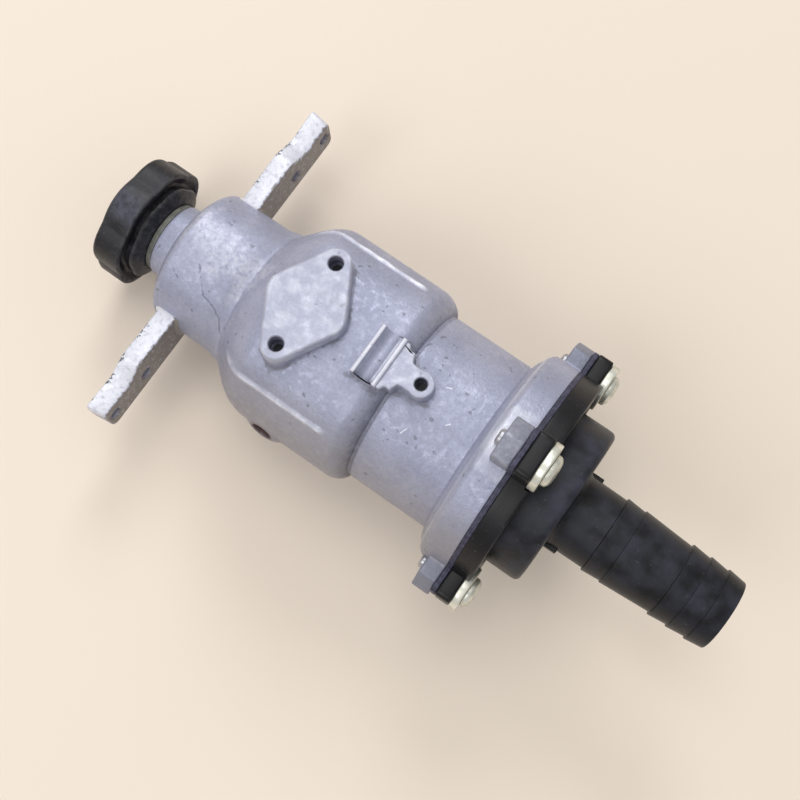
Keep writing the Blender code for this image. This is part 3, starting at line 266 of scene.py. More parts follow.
def scaled(tree, vector, by):
    """A vector made longer or shorter."""
    return node(tree, "VectorMath", {0: vector, "Scale": by}, operation="SCALE").outputs[0]


def times(tree, first, *others):
    """Masks and numbers multiplied together."""
    for other in others:
        first = maths(tree, "MULTIPLY", first, other)
    return first


def mix(tree, share, low, high):
    """A colour between two others."""
    inputs = {0: share, 6: low if isinstance(low, bpy.types.NodeSocket) else (*low, 1.0)}
    inputs[7] = high if isinstance(high, bpy.types.NodeSocket) else (*high, 1.0)
    return node(tree, "Mix", inputs, data_type="RGBA").outputs[2]


def paint(tree, colour, over, *masks):
    """A colour with another laid over it, as strongly as these masks and numbers multiplied together."""
    return mix(tree, times(tree, *masks), colour, over)


def ramp(tree, value, low, high, to_low=0.0, to_high=1.0):
    """A value carried from one range to another, smoothly and not past its ends."""
    inputs = {0: value, 1: low, 2: high, 3: to_low, 4: to_high}
    return node(tree, "MapRange", inputs, interpolation_type="SMOOTHSTEP").outputs[0]


def effect(name, outputs, **inputs):
    """An empty group of shader nodes with these outputs and inputs. Gives the group, what it is given and
    what it puts out."""
    made = bpy.data.node_groups.new(name, "ShaderNodeTree")
    for label, value in inputs.items():
        kind = "Float" if isinstance(value, float) else {3: "Vector", 4: "Color"}[len(value)]
        socket = made.interface.new_socket(name=label, in_out="INPUT", socket_type="NodeSocket" + kind)
        socket.default_value = value
    for label, kind in outputs.items():
        made.interface.new_socket(name=label, in_out="OUTPUT", socket_type="NodeSocket" + kind)
    return made, made.nodes.new("NodeGroupInput").outputs, made.nodes.new("NodeGroupOutput").inputs


def finish(name, **settings):
    """A material with its shader's plain numbers set. Gives the material, its node tree, its shader and the
    place on the object."""
    made = bpy.data.materials.new(name)
    made.use_nodes = True
    tree, shader = made.node_tree, made.node_tree.nodes["Principled BSDF"]
    for key, value in settings.items():
        shader.inputs[key.replace("_", " ")].default_value = value
    return made, tree, shader, node(tree, "TexCoord").outputs["Object"]


def wire(tree, shader, **sockets):
    """Joins outputs to the shader's inputs, and a height in millimetres to its normal through a bump."""
    for key, value in sockets.items():
        if key == "height":
            inputs = {"Height": value, "Distance": 0.001, "Strength": 1.0}
            value, key = node(tree, "Bump", inputs).outputs[0], "Normal"
        tree.links.new(value, shader.inputs[key.replace("_", " ")])


def behind_face(x):
    """A distance behind the collar's face as a place along the model, in metres."""
    return (COLLAR_FACE + x) * 0.001


def place(x, y, z):
    """A place in the collar's frame as one in the model's, in metres."""
    return behind_face(x), y * 0.001, z * 0.001


NO_PLACE = (0.0, 0.0, 0.0)
speckle, given, out = effect(
    "speckle", {"Mask": "Float"}, Vector=NO_PLACE, Scale=100.0, Detail=3.0, Low=0.4, High=0.6
)
lumps = node(speckle, "TexNoise", {key: given[key] for key in ("Vector", "Scale", "Detail")}).outputs[0]
speckle.links.new(ramp(speckle, lumps, given["Low"], given["High"]), out["Mask"])

streak, given, out = effect(
    "streak", {"Mask": "Float"}, Vector=NO_PLACE, Start=NO_PLACE, End=NO_PLACE, Width=0.001
)
away = vectors(streak, "SUBTRACT", given["Vector"], given["Start"])[0]
run = vectors(streak, "SUBTRACT", given["End"], given["Start"])[0]
share = vectors(streak, "DOT_PRODUCT", away, run)["Value"]
share = maths(streak, "DIVIDE", share, vectors(streak, "DOT_PRODUCT", run, run)["Value"])
share = node(streak, "Clamp", {"Value": share}).outputs[0]
distance = vectors(streak, "DISTANCE", away, scaled(streak, run, share))["Value"]
core = times(streak, given["Width"], 0.45)
streak.links.new(ramp(streak, distance, core, given["Width"], 1.0, 0.0), out["Mask"])


def spots(tree, where, scale, low, high, detail=3.0):
    """A mask of soft spots, this many to the metre, from noise between low and high."""
    inputs = {"Vector": where, "Scale": scale, "Detail": detail, "Low": low, "High": high}
    return node(tree, "Group", inputs, node_tree=speckle).outputs[0]


def streaks(tree, where, width, *lines):
    """A mask of thin marks along lines through places in the collar's frame, each to the next."""
    mask = 0.0
    for line in lines:
        for start, end in zip(line, line[1:]):
            inputs = {"Vector": where, "Start": place(*start), "End": place(*end), "Width": width * 0.001}
            mask = maths(tree, "MAXIMUM", node(tree, "Group", inputs, node_tree=streak).outputs[0], mask)
    return mask


def ragged(tree, where, reach, scale=900.0):
    """The place on the object moved about by noise, up to half of reach in millimetres each way."""
    push = node(tree, "TexNoise", {"Vector": where, "Scale": scale, "Detail": 2.0}).outputs["Color"]
    push = scaled(tree, vectors(tree, "SUBTRACT", push, (0.5, 0.5, 0.5))[0], reach * 0.002)
    return vectors(tree, "ADD", where, push)[0]


def apart(tree, where):
    """A place as its distances along the pump, across it and up, in metres as the shader has them."""
    return node(tree, "SeparateXYZ", {0: where}).outputs[:3]


# The blasted skin: a soft mottle between two colours, pale flecks, small dark pits and a fine grain.
cast_skin, given, out = effect(
    "cast skin", {"Colour": "Color", "Height": "Float", "Roughness": "Float"},
    Vector=NO_PLACE, Dark=(0.3, 0.3, 0.4, 1.0), Light=(0.4, 0.4, 0.5, 1.0), Fleck=(0.6, 0.6, 0.7, 1.0),
)
where = given["Vector"]
flecks = spots(cast_skin, where, 620.0, 0.40, 0.75, 4.0)
pits = spots(cast_skin, where, 560.0, 0.70, 0.76, 1.0)
colour = mix(cast_skin, spots(cast_skin, where, 85.0, 0.34, 0.66), given["Dark"], given["Light"])
colour = paint(cast_skin, colour, given["Fleck"], flecks, 0.16)
colour = paint(cast_skin, colour, (0.20, 0.205, 0.25), spots(cast_skin, where, 1500.0, 0.4, 0.7), 0.22)
colour = paint(cast_skin, colour, (0.13, 0.13, 0.16), pits, 0.5)
grain = times(cast_skin, spots(cast_skin, where, 2100.0, 0.2, 0.8), 0.03)
height = maths(cast_skin, "MULTIPLY_ADD", flecks, 0.022, grain)
height = maths(cast_skin, "MULTIPLY_ADD", pits, -0.06, height)
cast_skin.links.new(colour, out["Colour"])
cast_skin.links.new(height, out["Height"])
cast_skin.links.new(ramp(cast_skin, flecks, 0.0, 1.0, 0.52, 0.38), out["Roughness"])


def blasted(name, dark, light):
    """A material of blasted aluminium between two colours. Gives the material's parts, its colour and its
    height."""
    made, tree, shader, where = finish(name, Metallic=0.38, IOR=1.45)
    inputs = {"Vector": where, "Dark": (*dark, 1.0), "Light": (*light, 1.0)}
    inputs["Fleck"] = (*[1.4 * part for part in light], 1.0)
    skin = node(tree, "Group", inputs, node_tree=cast_skin).outputs
    wire(tree, shader, Roughness=skin["Roughness"])
    return made, tree, shader, where, skin["Colour"], skin["Height"]


PAD_HOLES = [(44.6, 11.2), (44.6, -11.2)]
CLAMP_HOLE = (75.4, 0.0)
SIDE_HOLE = (46.8, 0.0)
PORT = (50.0, 0.0)
# Bare metal for scratches, and the colour of painted highlights.
BARE_METAL_AND_HIGHLIGHT = (0.80, 0.80, 0.88)

cast_aluminium, tree, shader, where, colour, height = blasted(
    "cast aluminium", (0.338, 0.354, 0.468), (0.402, 0.418, 0.54)
)
loose = ragged(tree, where, 0.45)
along, across, up = apart(tree, where)

# Painted shade on the -Y side, brownish as the table shows in it; a painted highlight on the neck; the tops
# of the pads, rubbed bare and painted lighter as lit from above; and painted highlights, partly wear, along
# the ridges and the flange's shoulder.
# Painted shade: the -Y side of the casting is darkened brownish.
colour = paint(tree, colour, (0.29, 0.27, 0.27), ramp(tree, across, -0.014, -0.026, 0.0, 0.6))
# Painted highlight: a pale patch along the top of the neck.
neck_highlight_line = [(9.5, 4.0, 17.0), (20.0, 0.5, 17.8), (25.0, -1.0, 18.0)]
neck_highlight = streaks(tree, ragged(tree, where, 9.0, 160.0), 7.5, neck_highlight_line)
colour = paint(tree, colour, (0.64, 0.65, 0.74), neck_highlight, spots(tree, where, 900.0, 0.25, 0.65, 4.0), 0.55)
# The pad tops are painted lighter as lit from above, with pale spots of rubbed-bare metal.
lit_and_worn_pad_tops = ramp(tree, up, 0.0269, 0.0273, 0.0, 0.3)
colour = paint(tree, colour, (0.60, 0.61, 0.70), lit_and_worn_pad_tops)
colour = paint(tree, colour, (0.80, 0.83, 0.90), lit_and_worn_pad_tops, spots(tree, where, 300.0, 0.42, 0.66, 6.0))
# Painted highlight, partly wear: paler along the upper ridge crests and the flange's shoulder, more on the +Y
# side.
wear_and_highlight = node(tree, "Attribute", attribute_name="wear_and_highlight").outputs["Fac"]
wear_and_highlight = times(tree, wear_and_highlight, spots(tree, where, 300.0, 0.12, 0.58), ramp(tree, across, -0.008, 0.008, 0.5, 0.95))
colour = paint(tree, colour, (0.80, 0.80, 0.87), wear_and_highlight)
# Painted highlight on the clamp block's two ridges.
clamp_ridge_highlights = ramp(tree, up, 0.0277, 0.0284)
colour = paint(tree, colour, BARE_METAL_AND_HIGHLIGHT, clamp_ridge_highlights, ramp(tree, along, behind_face(57), behind_face(58)), 0.6)

# Dark flow marks left by the mould, and a few bright scratches on the barrel.
dark_marks = streaks(
    tree, loose, 0.34,
    [(15.2, -4.4, 17.2), (19.7, -9.4, 15.1), (22.8, -10.2, 14.5), (26.0, -11.9, 14.0), (28.0, -15.1, 11.7)],
    [(9.0, -7.5, 15.6), (12.0, -9.4, 15.1)],
    [(70.4, 9.6, 20.6), (70.9, 10.4, 20.2)],
    [(71.8, 13.2, 18.4), (72.4, 13.9, 18.0)],
    [(31.6, -11.0, 18.4), (33.4, -11.6, 19.3)],
)
colour = paint(tree, colour, (0.12, 0.12, 0.16), dark_marks, 0.5)
scratches = streaks(
    tree, ragged(tree, where, 0.25), 0.2,
    [(77.0, -10.4, 20.2), (77.8, -8.9, 21.0)],
    [(84.5, -3.6, 22.5), (85.3, -2.9, 22.6)],
    [(79.8, 3.5, 22.5), (80.9, 4.0, 22.4)],
)
colour = paint(tree, colour, BARE_METAL_AND_HIGHLIGHT, scratches, 0.8)

# The screw holes are darkened inside as painted shade, and painted shade with some grime lies round the pad
# and the clamp and in the valley behind the bulge.
hole_lines = [[(*hole, 24.0), (*hole, 29.6)] for hole in PAD_HOLES]
hole_shade = streaks(tree, where, 2.1, *hole_lines, [(*CLAMP_HOLE, 22.0), (*CLAMP_HOLE, 26.9)])
colour = paint(tree, colour, (0.02, 0.02, 0.025), hole_shade)
# Painted shade with some grime along the feet of the pad and the clamp and in its notch.
grime_and_shade = streaks(
    tree, ragged(tree, where, 1.4, 500.0), 1.15,
    [(53.9, 2.0, 25.6), (48.0, 13.2, 23.4)],
    [(53.9, -2.0, 25.6), (48.0, -13.2, 23.4), (45.0, -15.4, 22.4), (41.4, -13.4, 23.4)],
    [(60.3, -6.9, 25.3), (67.9, -6.9, 24.6), (69.3, -6.0, 23.4), (70.9, -4.8, 22.4), (72.4, -3.5, 22.4),
     (75.4, -3.7, 22.4), (78.2, -2.4, 22.6)],
    [(67.9, 6.9, 24.6), (69.3, 6.0, 23.4), (70.9, 4.8, 22.4), (72.4, 3.5, 22.4)],
)
# Painted shade in the valley behind the bulge, deeper on the -Y side.
valley_shade = times(
    tree, ramp(tree, along, behind_face(66.8), behind_face(69.7)),
    ramp(tree, along, behind_face(71.0), behind_face(69.9)),
    ramp(tree, across, 0.004, -0.010, 0.45, 1.0), ramp(tree, up, 0.0268, 0.026),
)
grime_and_shade = maths(tree, "MAXIMUM", grime_and_shade, valley_shade)
colour = paint(tree, colour, (0.15, 0.15, 0.17), grime_and_shade, spots(tree, where, 600.0, 0.15, 0.6, 4.0), 0.6)

# The flange's bosses are duller than the rest, and the side hole has rusted.
from_axis = vectors(tree, "LENGTH", vectors(tree, "MULTIPLY", where, (0.0, 1.0, 1.0))[0])["Value"]
lugs = times(
    tree, ramp(tree, from_axis, 0.0285, 0.0291), ramp(tree, along, behind_face(96.4), behind_face(96.8)),
    spots(tree, where, 900.0, -1.0, 0.9),
)
colour = paint(tree, colour, (0.22, 0.23, 0.29), lugs)
rust = streaks(tree, where, 4.4, [(SIDE_HOLE[0], -25.0, 0.05), (SIDE_HOLE[0], -21.5, -0.5)])
colour = paint(tree, colour, (0.085, 0.03, 0.018), rust)
wire(tree, shader, Base_Color=colour, height=maths(tree, "MULTIPLY_ADD", dark_marks, -0.06, height))

RIDGES = np.array([42.6, 137.4, 222.6, 317.4])
stations = np.concatenate([
    [0.0, 0.0, 0.04, 0.16, 0.35], np.linspace(0.8, 3.9, 8), np.linspace(4.0, COLLAR_END, 8),
    COLLAR_END + 4.2 * np.linspace(0, 1, 27)[1:] ** 1.8, np.arange(9.4, BULGE_START, 0.45),
    np.arange(BULGE_START, 40.0, 0.4), np.arange(40.0, BULGE_END, 0.45),
    69.6 - 5.6 * np.linspace(1, 0, 28) ** 2, np.linspace(69.7, 71.0, 10), np.arange(71.5, 91.5, 0.6),
    FLANGE_START + 3.8 * np.linspace(0, 1, 24) ** 1.2, np.linspace(96.0, 101.2, 9),
    [101.44, 101.56, CASTING_END, CASTING_END],
])
inset = np.zeros(len(stations))
inset[:5] = [0.35 + 0.06, 0.35, 0.16, 0.04, 0.0]
inset[-4:] = [0.04, 0.16, 0.4, 0.46]
angles = np.concatenate([np.arange(0, 360, 1.6), *(RIDGES[:, None] + np.linspace(-3.2, 3.2, 15))])
angles = np.unique(np.round(angles, 3))
turn = np.radians(angles)[None]
power = body_power(stations)[:, None]
squareness = np.abs(np.cos(turn)) ** power + np.abs(np.sin(turn)) ** power
reach = (body_radius(stations) - inset)[:, None] * squareness ** (-1 / power)
uneven = 1 + 0.2 * np.sin(0.9 * stations) * np.sin(0.37 * stations + 1.0)
along_ridge = step(stations, 31.0, 35.0) * (1 - step(stations, 61.5, 63.5)) * uneven
crest = np.abs(angles[:, None] - RIDGES).min(1)
reach += 0.55 * along_ridge[:, None] * bell(crest, 0.0, 1.35)[None]
outside = np.stack([stations[:, None] + 0 * turn, reach * np.cos(turn), reach * np.sin(turn)], -1)
bore = rounded([
    (CASTING_END, 21.8), (99.9, 21.8), (99.9, 20.0), (65.8, 20.0), (65.8, 22.3), (36.5, 22.3), (32.0, 14.2),
    (18.0, 14.2), (18.0, 8.0), (16.3, 8.0), (16.3, 8.9), (14.9, 8.9), (14.9, 8.0), (4.2, 8.0), (4.2, 4.4),
    (0.0, 4.4),
], 0.25, 3)
along, radius = bore.T[:, :, None]
inside = np.stack([along + 0 * turn, radius * np.cos(turn), radius * np.sin(turn)], -1)
casting = shell(np.concatenate([outside, inside]), True)

pad_hole = [(25.4, 1.75), (30.15, 1.75), (30.45, 2.05), (33.0, 2.2)]
pad_cuts = [plug(pad_hole, 40, "Z", centre) for centre in PAD_HOLES]
boss_cut = plug([(24.1, 1.45), (27.25, 1.45), (27.55, 1.75), (30.0, 1.9)], 40, "Z", CLAMP_HOLE)
side_cut = plug([(-23.6, 2.4), (-26.0, 2.5), (-26.7, 2.8), (-30.0, 2.9)], 48, "Y", SIDE_HOLE)
port_cut = plug([(-20.5, 8.0), (-23.9, 8.0), (-24.5, 8.6), (-24.5, 12.0), (-31.0, 12.0)], 80, "Z", PORT)
casting = carve(casting, *pad_cuts, boss_cut, side_cut, port_cut)
x, y, z = casting[0].T
turned_by = np.degrees(np.arctan2(z, y)) % 360
# How strongly the casting is painted paler: the upper ridge crests and the flange's shoulder, as painted
# highlight and partly wear.
worn_and_lit = bell(np.abs(turned_by[:, None] - RIDGES).min(1), 0.0, 1.5)
worn_and_lit = worn_and_lit * step(x, 31.0, 36.0) * (1 - step(x, 61.5, 63.5)) * (z > 0)
worn_and_lit = np.where(np.hypot(y, z) > 22.6, worn_and_lit + 0.55 * bell(x, 93.7, 0.35), 0.0)
piece("pump_body_casting", casting, cast_aluminium, "casting", ["pump_body"], worn_and_lit)

# Side boss: a low round swelling on the bulge's side, turned up a little, with a blind hole that has gone
# rusty inside. It is part of the casting.
boss_line = rounded([(-21.0, 7.0), (-24.4, 6.8), (-26.0, 4.8), (-26.5, 3.6), (-26.5, NEEDLE)],
                    [0, 0.5, 0.9, 0.5, 0], 5)
swelling = turned([(-21.0, NEEDLE), *boss_line.tolist()], 64, "Y", SIDE_HOLE, loop=False)
points, faces = carve(swelling, side_cut)
TILT, TILTED_ABOUT = math.radians(10), -25.0
x, y, z = points.T
y = y - TILTED_ABOUT
tilted = [x, TILTED_ABOUT + y * math.cos(TILT) + z * math.sin(TILT), z * math.cos(TILT) - y * math.sin(TILT)]
piece("side_boss", (np.stack(tilted, -1), faces), cast_aluminium, "casting")

# Mounting ears: two flat lugs cast on the neck, with a step in their upper edge and two screw holes each.
# They are part of the casting, with its finish in lighter colours that paint the light they catch. Their
# upper edges are painted as a highlight and their rear faces brown as painted shade; a dark line runs along
# the upper edge of their front faces, and their screw holes are darkened inside as painted shade.
EAR_FRONT, EAR_BACK = 9.8, 14.9
SIDES = (1, -1)
# A lighter copy of the casting's finish, which paints the light that the ears catch.
lit_ear_aluminium, tree, shader, where, colour, height = blasted(
    "lit ear aluminium", (0.42, 0.42, 0.50), (0.48, 0.48, 0.56)
)
loose = ragged(tree, where, 0.9)
along, across, up = apart(tree, loose)
back_face = behind_face(EAR_BACK)
# Painted shade, brownish as the table shows in it, on the ears' rear faces.
shaded_rear_faces = ramp(tree, along, back_face - 0.0004, back_face - 0.00005)
# Painted highlight on the ears' upper edges.
lit_upper_edge = times(
    tree, ramp(tree, up, 0.0022, 0.0032), ramp(tree, along, back_face - 0.0002, back_face - 0.0007)
)
colour = paint(tree, colour, (0.76, 0.77, 0.84), lit_upper_edge, spots(tree, where, 900.0, 0.1, 0.55, 4.0))
colour = paint(tree, colour, (0.25, 0.225, 0.195), shaded_rear_faces, 0.85)
# A dark line along the upper edge of the ears' front faces.
upper_line = [(21.0, 6.2), (31.0, 6.8), (36.8, 3.9), (44.0, 4.8)]
edge_lines = [[(EAR_FRONT + 0.1, side * y, z) for y, z in upper_line] for side in SIDES]
edge_dark_line = streaks(tree, ragged(tree, where, 1.6, 1300.0), 0.5, *edge_lines)
edge_dark_line = times(tree, edge_dark_line, spots(tree, where, 260.0, 0.42, 0.55, 2.0))
# Painted shade inside the rear ends of the ears' screw holes.
hole_lines = [
    [(EAR_BACK, side * y, -1.8), (EAR_BACK, side * (y + 0.9), -0.6)] for side in SIDES for y in (30.4, 42.4)
]
ear_hole_shade = streaks(tree, ragged(tree, where, 1.2, 1300.0), 1.0, *hole_lines)
edge_line_and_hole_shade = times(tree, maths(tree, "MAXIMUM", edge_dark_line, ear_hole_shade), 0.85)
colour = paint(tree, colour, (0.05, 0.045, 0.05), edge_line_and_hole_shade)
wire(tree, shader, Base_Color=colour, height=maths(tree, "MULTIPLY_ADD", edge_line_and_hole_shade, -0.15, height))

ear_edge = rounded(
    [(12.0, -6.5), (46.3, -6.5), (46.3, 4.9), (36.8, 3.8), (31.0, 6.8), (12.0, 5.7)],
    [0.3, 2.4, 2.0, 1.4, 1.6, 0.3], 6, True,
)
ear_edge = finer(ear_edge, 0.8, True)
hole_line = [(7.0, 2.2), (9.75, 2.1), (10.2, 1.6), (14.5, 1.6), (14.95, 2.1), (17.0, 2.2)]
ears = []
for side in SIDES:
    outline = ear_edge if side == 1 else (ear_edge * [-1, 1])[::-1]
    points, faces = slab(outline, EAR_FRONT, EAR_BACK, "X", 0.4)
    x, y, z = points.T
    lean = (x - EAR_FRONT) * step(np.abs(y), 26.0, 32.0)
    droop = 0.22 * (x - EAR_FRONT) * step(np.abs(y), 30.0, 37.0) * step(z, 1.0, 4.0)
    points = np.stack([x, y - side * 0.12 * lean, z - droop], -1)
    holes = [plug(hole_line, 32, "X", (side * out_to, -1.0)) for out_to in (30.8, 43.0)]
    lug = carve((points, faces), *holes)
    root = rounded([(EAR_FRONT, -6.5), (EAR_BACK, -6.5), (EAR_BACK, 5.7), (EAR_FRONT, 5.7)], 0.6, 4, True)
    root = fillet(finer(root, 0.7, True), 1.1, "Y")
    ears += [lug, root if side == 1 else (root[0] * [1, -1, 1], root[1])]
piece("mounting_ears", join(*ears), lit_ear_aluminium, "casting")


# Screw pad: a raised flat pad on top of the bulge, wider in the middle, with a countersunk hole at each end.
# It is cast with the body and its edge is rounded by the blasting.
def hull(circles):
    """The outline round circles (x, y, r): for each direction of the normal, the circle that reaches
    furthest that way gives the point."""
    t = np.linspace(0, math.tau, 97)[:-1]
    ways = np.stack([np.cos(t), np.sin(t)], -1)
    circles = np.asarray(circles, float)
    best = (circles[:, :2] @ ways.T + circles[:, 2:]).argmax(0)
    return finer(circles[best, :2] + circles[best, 2:] * ways, 0.5, True)


pad_edge = hull([(50.2, 0.0, 4.4), (*PAD_HOLES[0], 3.7), (39.0, 0.0, 4.4), (*PAD_HOLES[1], 3.7)])
pad = carve(slab(pad_edge, 20.0, 30.4, "Z", 0.6), *pad_cuts)
piece("screw_pad", join(pad, fillet(pad_edge, 0.7)), cast_aluminium, "casting")

# Cable clamp: a small block with a round groove across it, and behind it a notched plate that ends in a
# boss with a screw hole. Both are cast with the body.
BLOCK_FRONT, BLOCK_BACK, BLOCK_SIDE, BLOCK_FOOT, BLOCK_TOP = 60.6, 67.6, 6.4, 21.3, 28.4
GROOVE_RADIUS, GROOVE_START = 2.35, 0.0852
s = np.linspace(GROOVE_START, math.pi - GROOVE_START, 21)
groove = np.stack([64.1 + GROOVE_RADIUS * np.cos(s), 28.6 - GROOVE_RADIUS * np.sin(s)], -1)
corners = [(BLOCK_FRONT, BLOCK_FOOT), (BLOCK_BACK, BLOCK_FOOT), (BLOCK_BACK, BLOCK_TOP)]
block_edge = np.concatenate([corners, groove, [(BLOCK_FRONT, BLOCK_TOP)]])
cuts = [0.3, 0.3, 0.9, 0.6, *[0.05] * (len(groove) - 2), 0.6, 0.9]
block_edge = rounded(block_edge, cuts, 5, True)
block = slab(block_edge, -BLOCK_SIDE, BLOCK_SIDE, "Y", 0.2)
foot = [(BLOCK_FRONT, -BLOCK_SIDE), (BLOCK_BACK, -BLOCK_SIDE)]
foot += [(BLOCK_BACK, BLOCK_SIDE), (BLOCK_FRONT, BLOCK_SIDE)]
foot = finer(rounded(foot, 0.5, 4, True), 0.5, True)
plate_side = np.array([(65.6, 6.2), (68.4, 6.2), (69.1, 4.9), (70.5, 5.1), (71.2, 3.0), (72.1, 2.8)])
s = np.radians(np.linspace(112, -112, 25))
boss_arc = np.stack([CLAMP_HOLE[0] + 3.1 * np.cos(s), 3.1 * np.sin(s)], -1)
plate_edge = np.concatenate([plate_side, boss_arc, (plate_side * [1, -1])[::-1]])[::-1]
plate_edge = finer(rounded(plate_edge, 0.45, 4, True), 0.5, True)
plate = carve(slab(plate_edge, 21.1, 27.5, "Z", 0.4), boss_cut)
clamp = join(block, plate, fillet(foot, 0.25), fillet(plate_edge, 0.25))
piece("cable_clamp", clamp, cast_aluminium, "casting")

# Flange bosses: four six-sided lugs on the flange that take the cover screws. They are part of the casting,
# and their corners are rounded by the blasting.
SCREW_TURNS = (0.0, math.pi / 2, math.pi, 3 * math.pi / 2)
SCREW_CIRCLE = 29.2
screw_places = [(SCREW_CIRCLE * math.cos(a), SCREW_CIRCLE * math.sin(a)) for a in SCREW_TURNS]
bosses = []
for lean, middle in zip(SCREW_TURNS, screw_places):
    corner = lean + np.arange(6) * math.pi / 3
    hexagon = np.stack([6.3 * np.cos(corner), 6.3 * np.sin(corner)], -1) + middle
    bosses.append(slab(finer(rounded(hexagon, 0.8, 5, True), 0.8, True), 96.9, CASTING_END, "X", 0.45))
piece("flange_bosses", join(*bosses), cast_aluminium, "casting")


# Knob washer: a round olive-grey rubber washer on the rod, which the knob lands on when it is pushed in. It
# is moulded.
def mottled(name, dark, light, bump, scale, low, high, detail=3.0, grain=None, **settings):
    """A material with soft spots from a dark to a light colour, which stand up by bump in millimetres. grain
    draws the spots out, by the scale that it gives on each axis."""
    made, tree, shader, where = finish(name, **settings)
    if grain:
        where = node(tree, "Mapping", {"Vector": where, "Scale": grain}).outputs[0]
    mask = spots(tree, where, scale, low, high, detail)
    wire(tree, shader, Base_Color=mix(tree, mask, dark, light), height=times(tree, mask, bump))
    return made


bump_rubber = mottled(
    "bump rubber", (0.09, 0.09, 0.08), (0.155, 0.155, 0.135), 0.03, 700.0, 0.35, 0.65, Roughness=0.6
)
washer_edge = rounded([(-1.48, 4.4), (-1.48, 9.1), (-0.12, 9.1), (-0.12, 4.4)], 0.18, 4, True)
piece("bump_washer", turned(washer_edge, 128), bump_rubber, "casting", ["knob_washer"])

# Gland: a rubber ring, a white plastic bush and a spring clip inside the collar, which seal and guide the
# rod. They are out of sight and keep the model's shapes.
seal_rubber = mottled(
    "seal rubber", (0.022, 0.022, 0.024), (0.05, 0.05, 0.053), 0.01, 500.0, 0.4, 0.7, Roughness=0.65
)
white_plastic = mottled(
    "white plastic", (0.70, 0.69, 0.63), (0.80, 0.79, 0.74), 0.008, 260.0, 0.3, 0.7, Roughness=0.42
)
bright_steel = mottled(
    "bright steel", (0.48, 0.48, 0.49), (0.62, 0.62, 0.62), 0.006, 900.0, 0.3, 0.7,
    Metallic=1.0, Roughness=0.3,
)


def dress(material, *names):
    """Gives a finish to nodes that keep the model's shape."""
    for name in names:
        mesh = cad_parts[name].data
        mesh.materials.clear()
        mesh.materials.append(material)


dress(seal_rubber, "rod_seal")
dress(white_plastic, "gland_bush")
dress(bright_steel, "gland_circlip")


# Cylinder liner: a drawn brass tube with a lip at its rear end, pressed into the barrel. Its front end shows
# through the outlet.
def ends(name):
    """Where a node of the model begins and ends, in millimetres behind the collar's face."""
    return [1000 * corner.x - COLLAR_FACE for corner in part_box(name)]


liner_brass = mottled(
    "liner brass", (0.50, 0.36, 0.14), (0.64, 0.49, 0.21), 0.006, 1500.0, 0.3, 0.7, 2.0,
    grain=(0.15, 1.0, 1.0), Metallic=1.0, Roughness=0.32,
)
front, back = ends("cylinder_liner")
liner_line = rounded(
    [(front, 18.5), (back, 18.5), (back, 21.5), (back - 1.1, 21.5), (back - 1.1, 19.7), (front, 19.7)],
    0.15, 3, True,
)
piece("brass_liner", turned(liner_line, 160), liner_brass, "casting", ["cylinder_liner"])

# Plunger: a ground steel rod with a turned-down thread at each end. The knob is screwed on the front one, and
# the piston is held on the rear one.
rod_steel = mottled(
    "rod steel", (0.48, 0.48, 0.49), (0.64, 0.64, 0.65), 0.004, 900.0, 0.3, 0.7, 2.0,
    grain=(9.0, 0.3, 0.3), Metallic=1.0, Roughness=0.25,
)
front, back = ends("plunger_rod")
rod = rounded(
    [(front, NEEDLE), (front, 2.5), (front + 0.4, 2.9), (-1.5, 2.9), (-1.5, 4.0), (73.8, 4.0), (73.8, 2.9),
     (back - 0.4, 2.9), (back, 2.5), (back, NEEDLE)], 0.1, 3,
)
piece("plunger_rod_bar", turned(rod, 72, loop=False), rod_steel, "plunger", ["plunger_rod"])

# Knob: moulded black plastic with seven broad lobes round its rim and a hub behind it, on a brass insert.
# Dust lies on it in bluish spots whose tone also paints a sheen, a painted sheen lies along the top of the
# rim, and the rim's edges are painted paler, as handling wear and as painted highlight.
knob_plastic, tree, shader, where = finish("knob plastic", Roughness=0.5, Specular_IOR_Level=0.35)
# Dust in soft bluish-grey spots, whose bluish tone also paints a sheen.
dust_and_sheen = spots(tree, where, 150.0, 0.40, 0.72, 4.0)
crumbs = spots(tree, where, 1300.0, 0.56, 0.74, 2.0)
colour = mix(tree, dust_and_sheen, (0.011, 0.011, 0.014), (0.030, 0.030, 0.040))
colour = paint(tree, colour, (0.14, 0.14, 0.15), crumbs, 0.16)
# Painted sheen: a bluish-grey patch along the top of the rim.
rim_sheen = streaks(tree, ragged(tree, where, 2.0, 300.0), 5.0, [(-10.2, -2.2, 16.0), (-7.2, -2.2, 16.0)])
colour = paint(tree, colour, (0.075, 0.078, 0.105), rim_sheen, spots(tree, where, 700.0, 0.1, 0.8))
hub = ramp(tree, apart(tree, where)[0], behind_face(-5.2), behind_face(-4.2))
colour = paint(tree, colour, (0.055, 0.056, 0.062), hub, spots(tree, where, 600.0, 0.35, 0.8))
# The rim's edges are painted paler, as handling wear and as painted highlight.
wear_and_highlight = node(tree, "Attribute", attribute_name="wear_and_highlight").outputs["Fac"]
colour = paint(tree, colour, (0.13, 0.13, 0.135), wear_and_highlight, spots(tree, where, 420.0, 0.32, 0.6), 0.5)
roughness = ramp(tree, dust_and_sheen, 0.0, 1.0, 0.40, 0.62)
wire(tree, shader, Base_Color=colour, Roughness=roughness, height=times(tree, crumbs, 0.03))

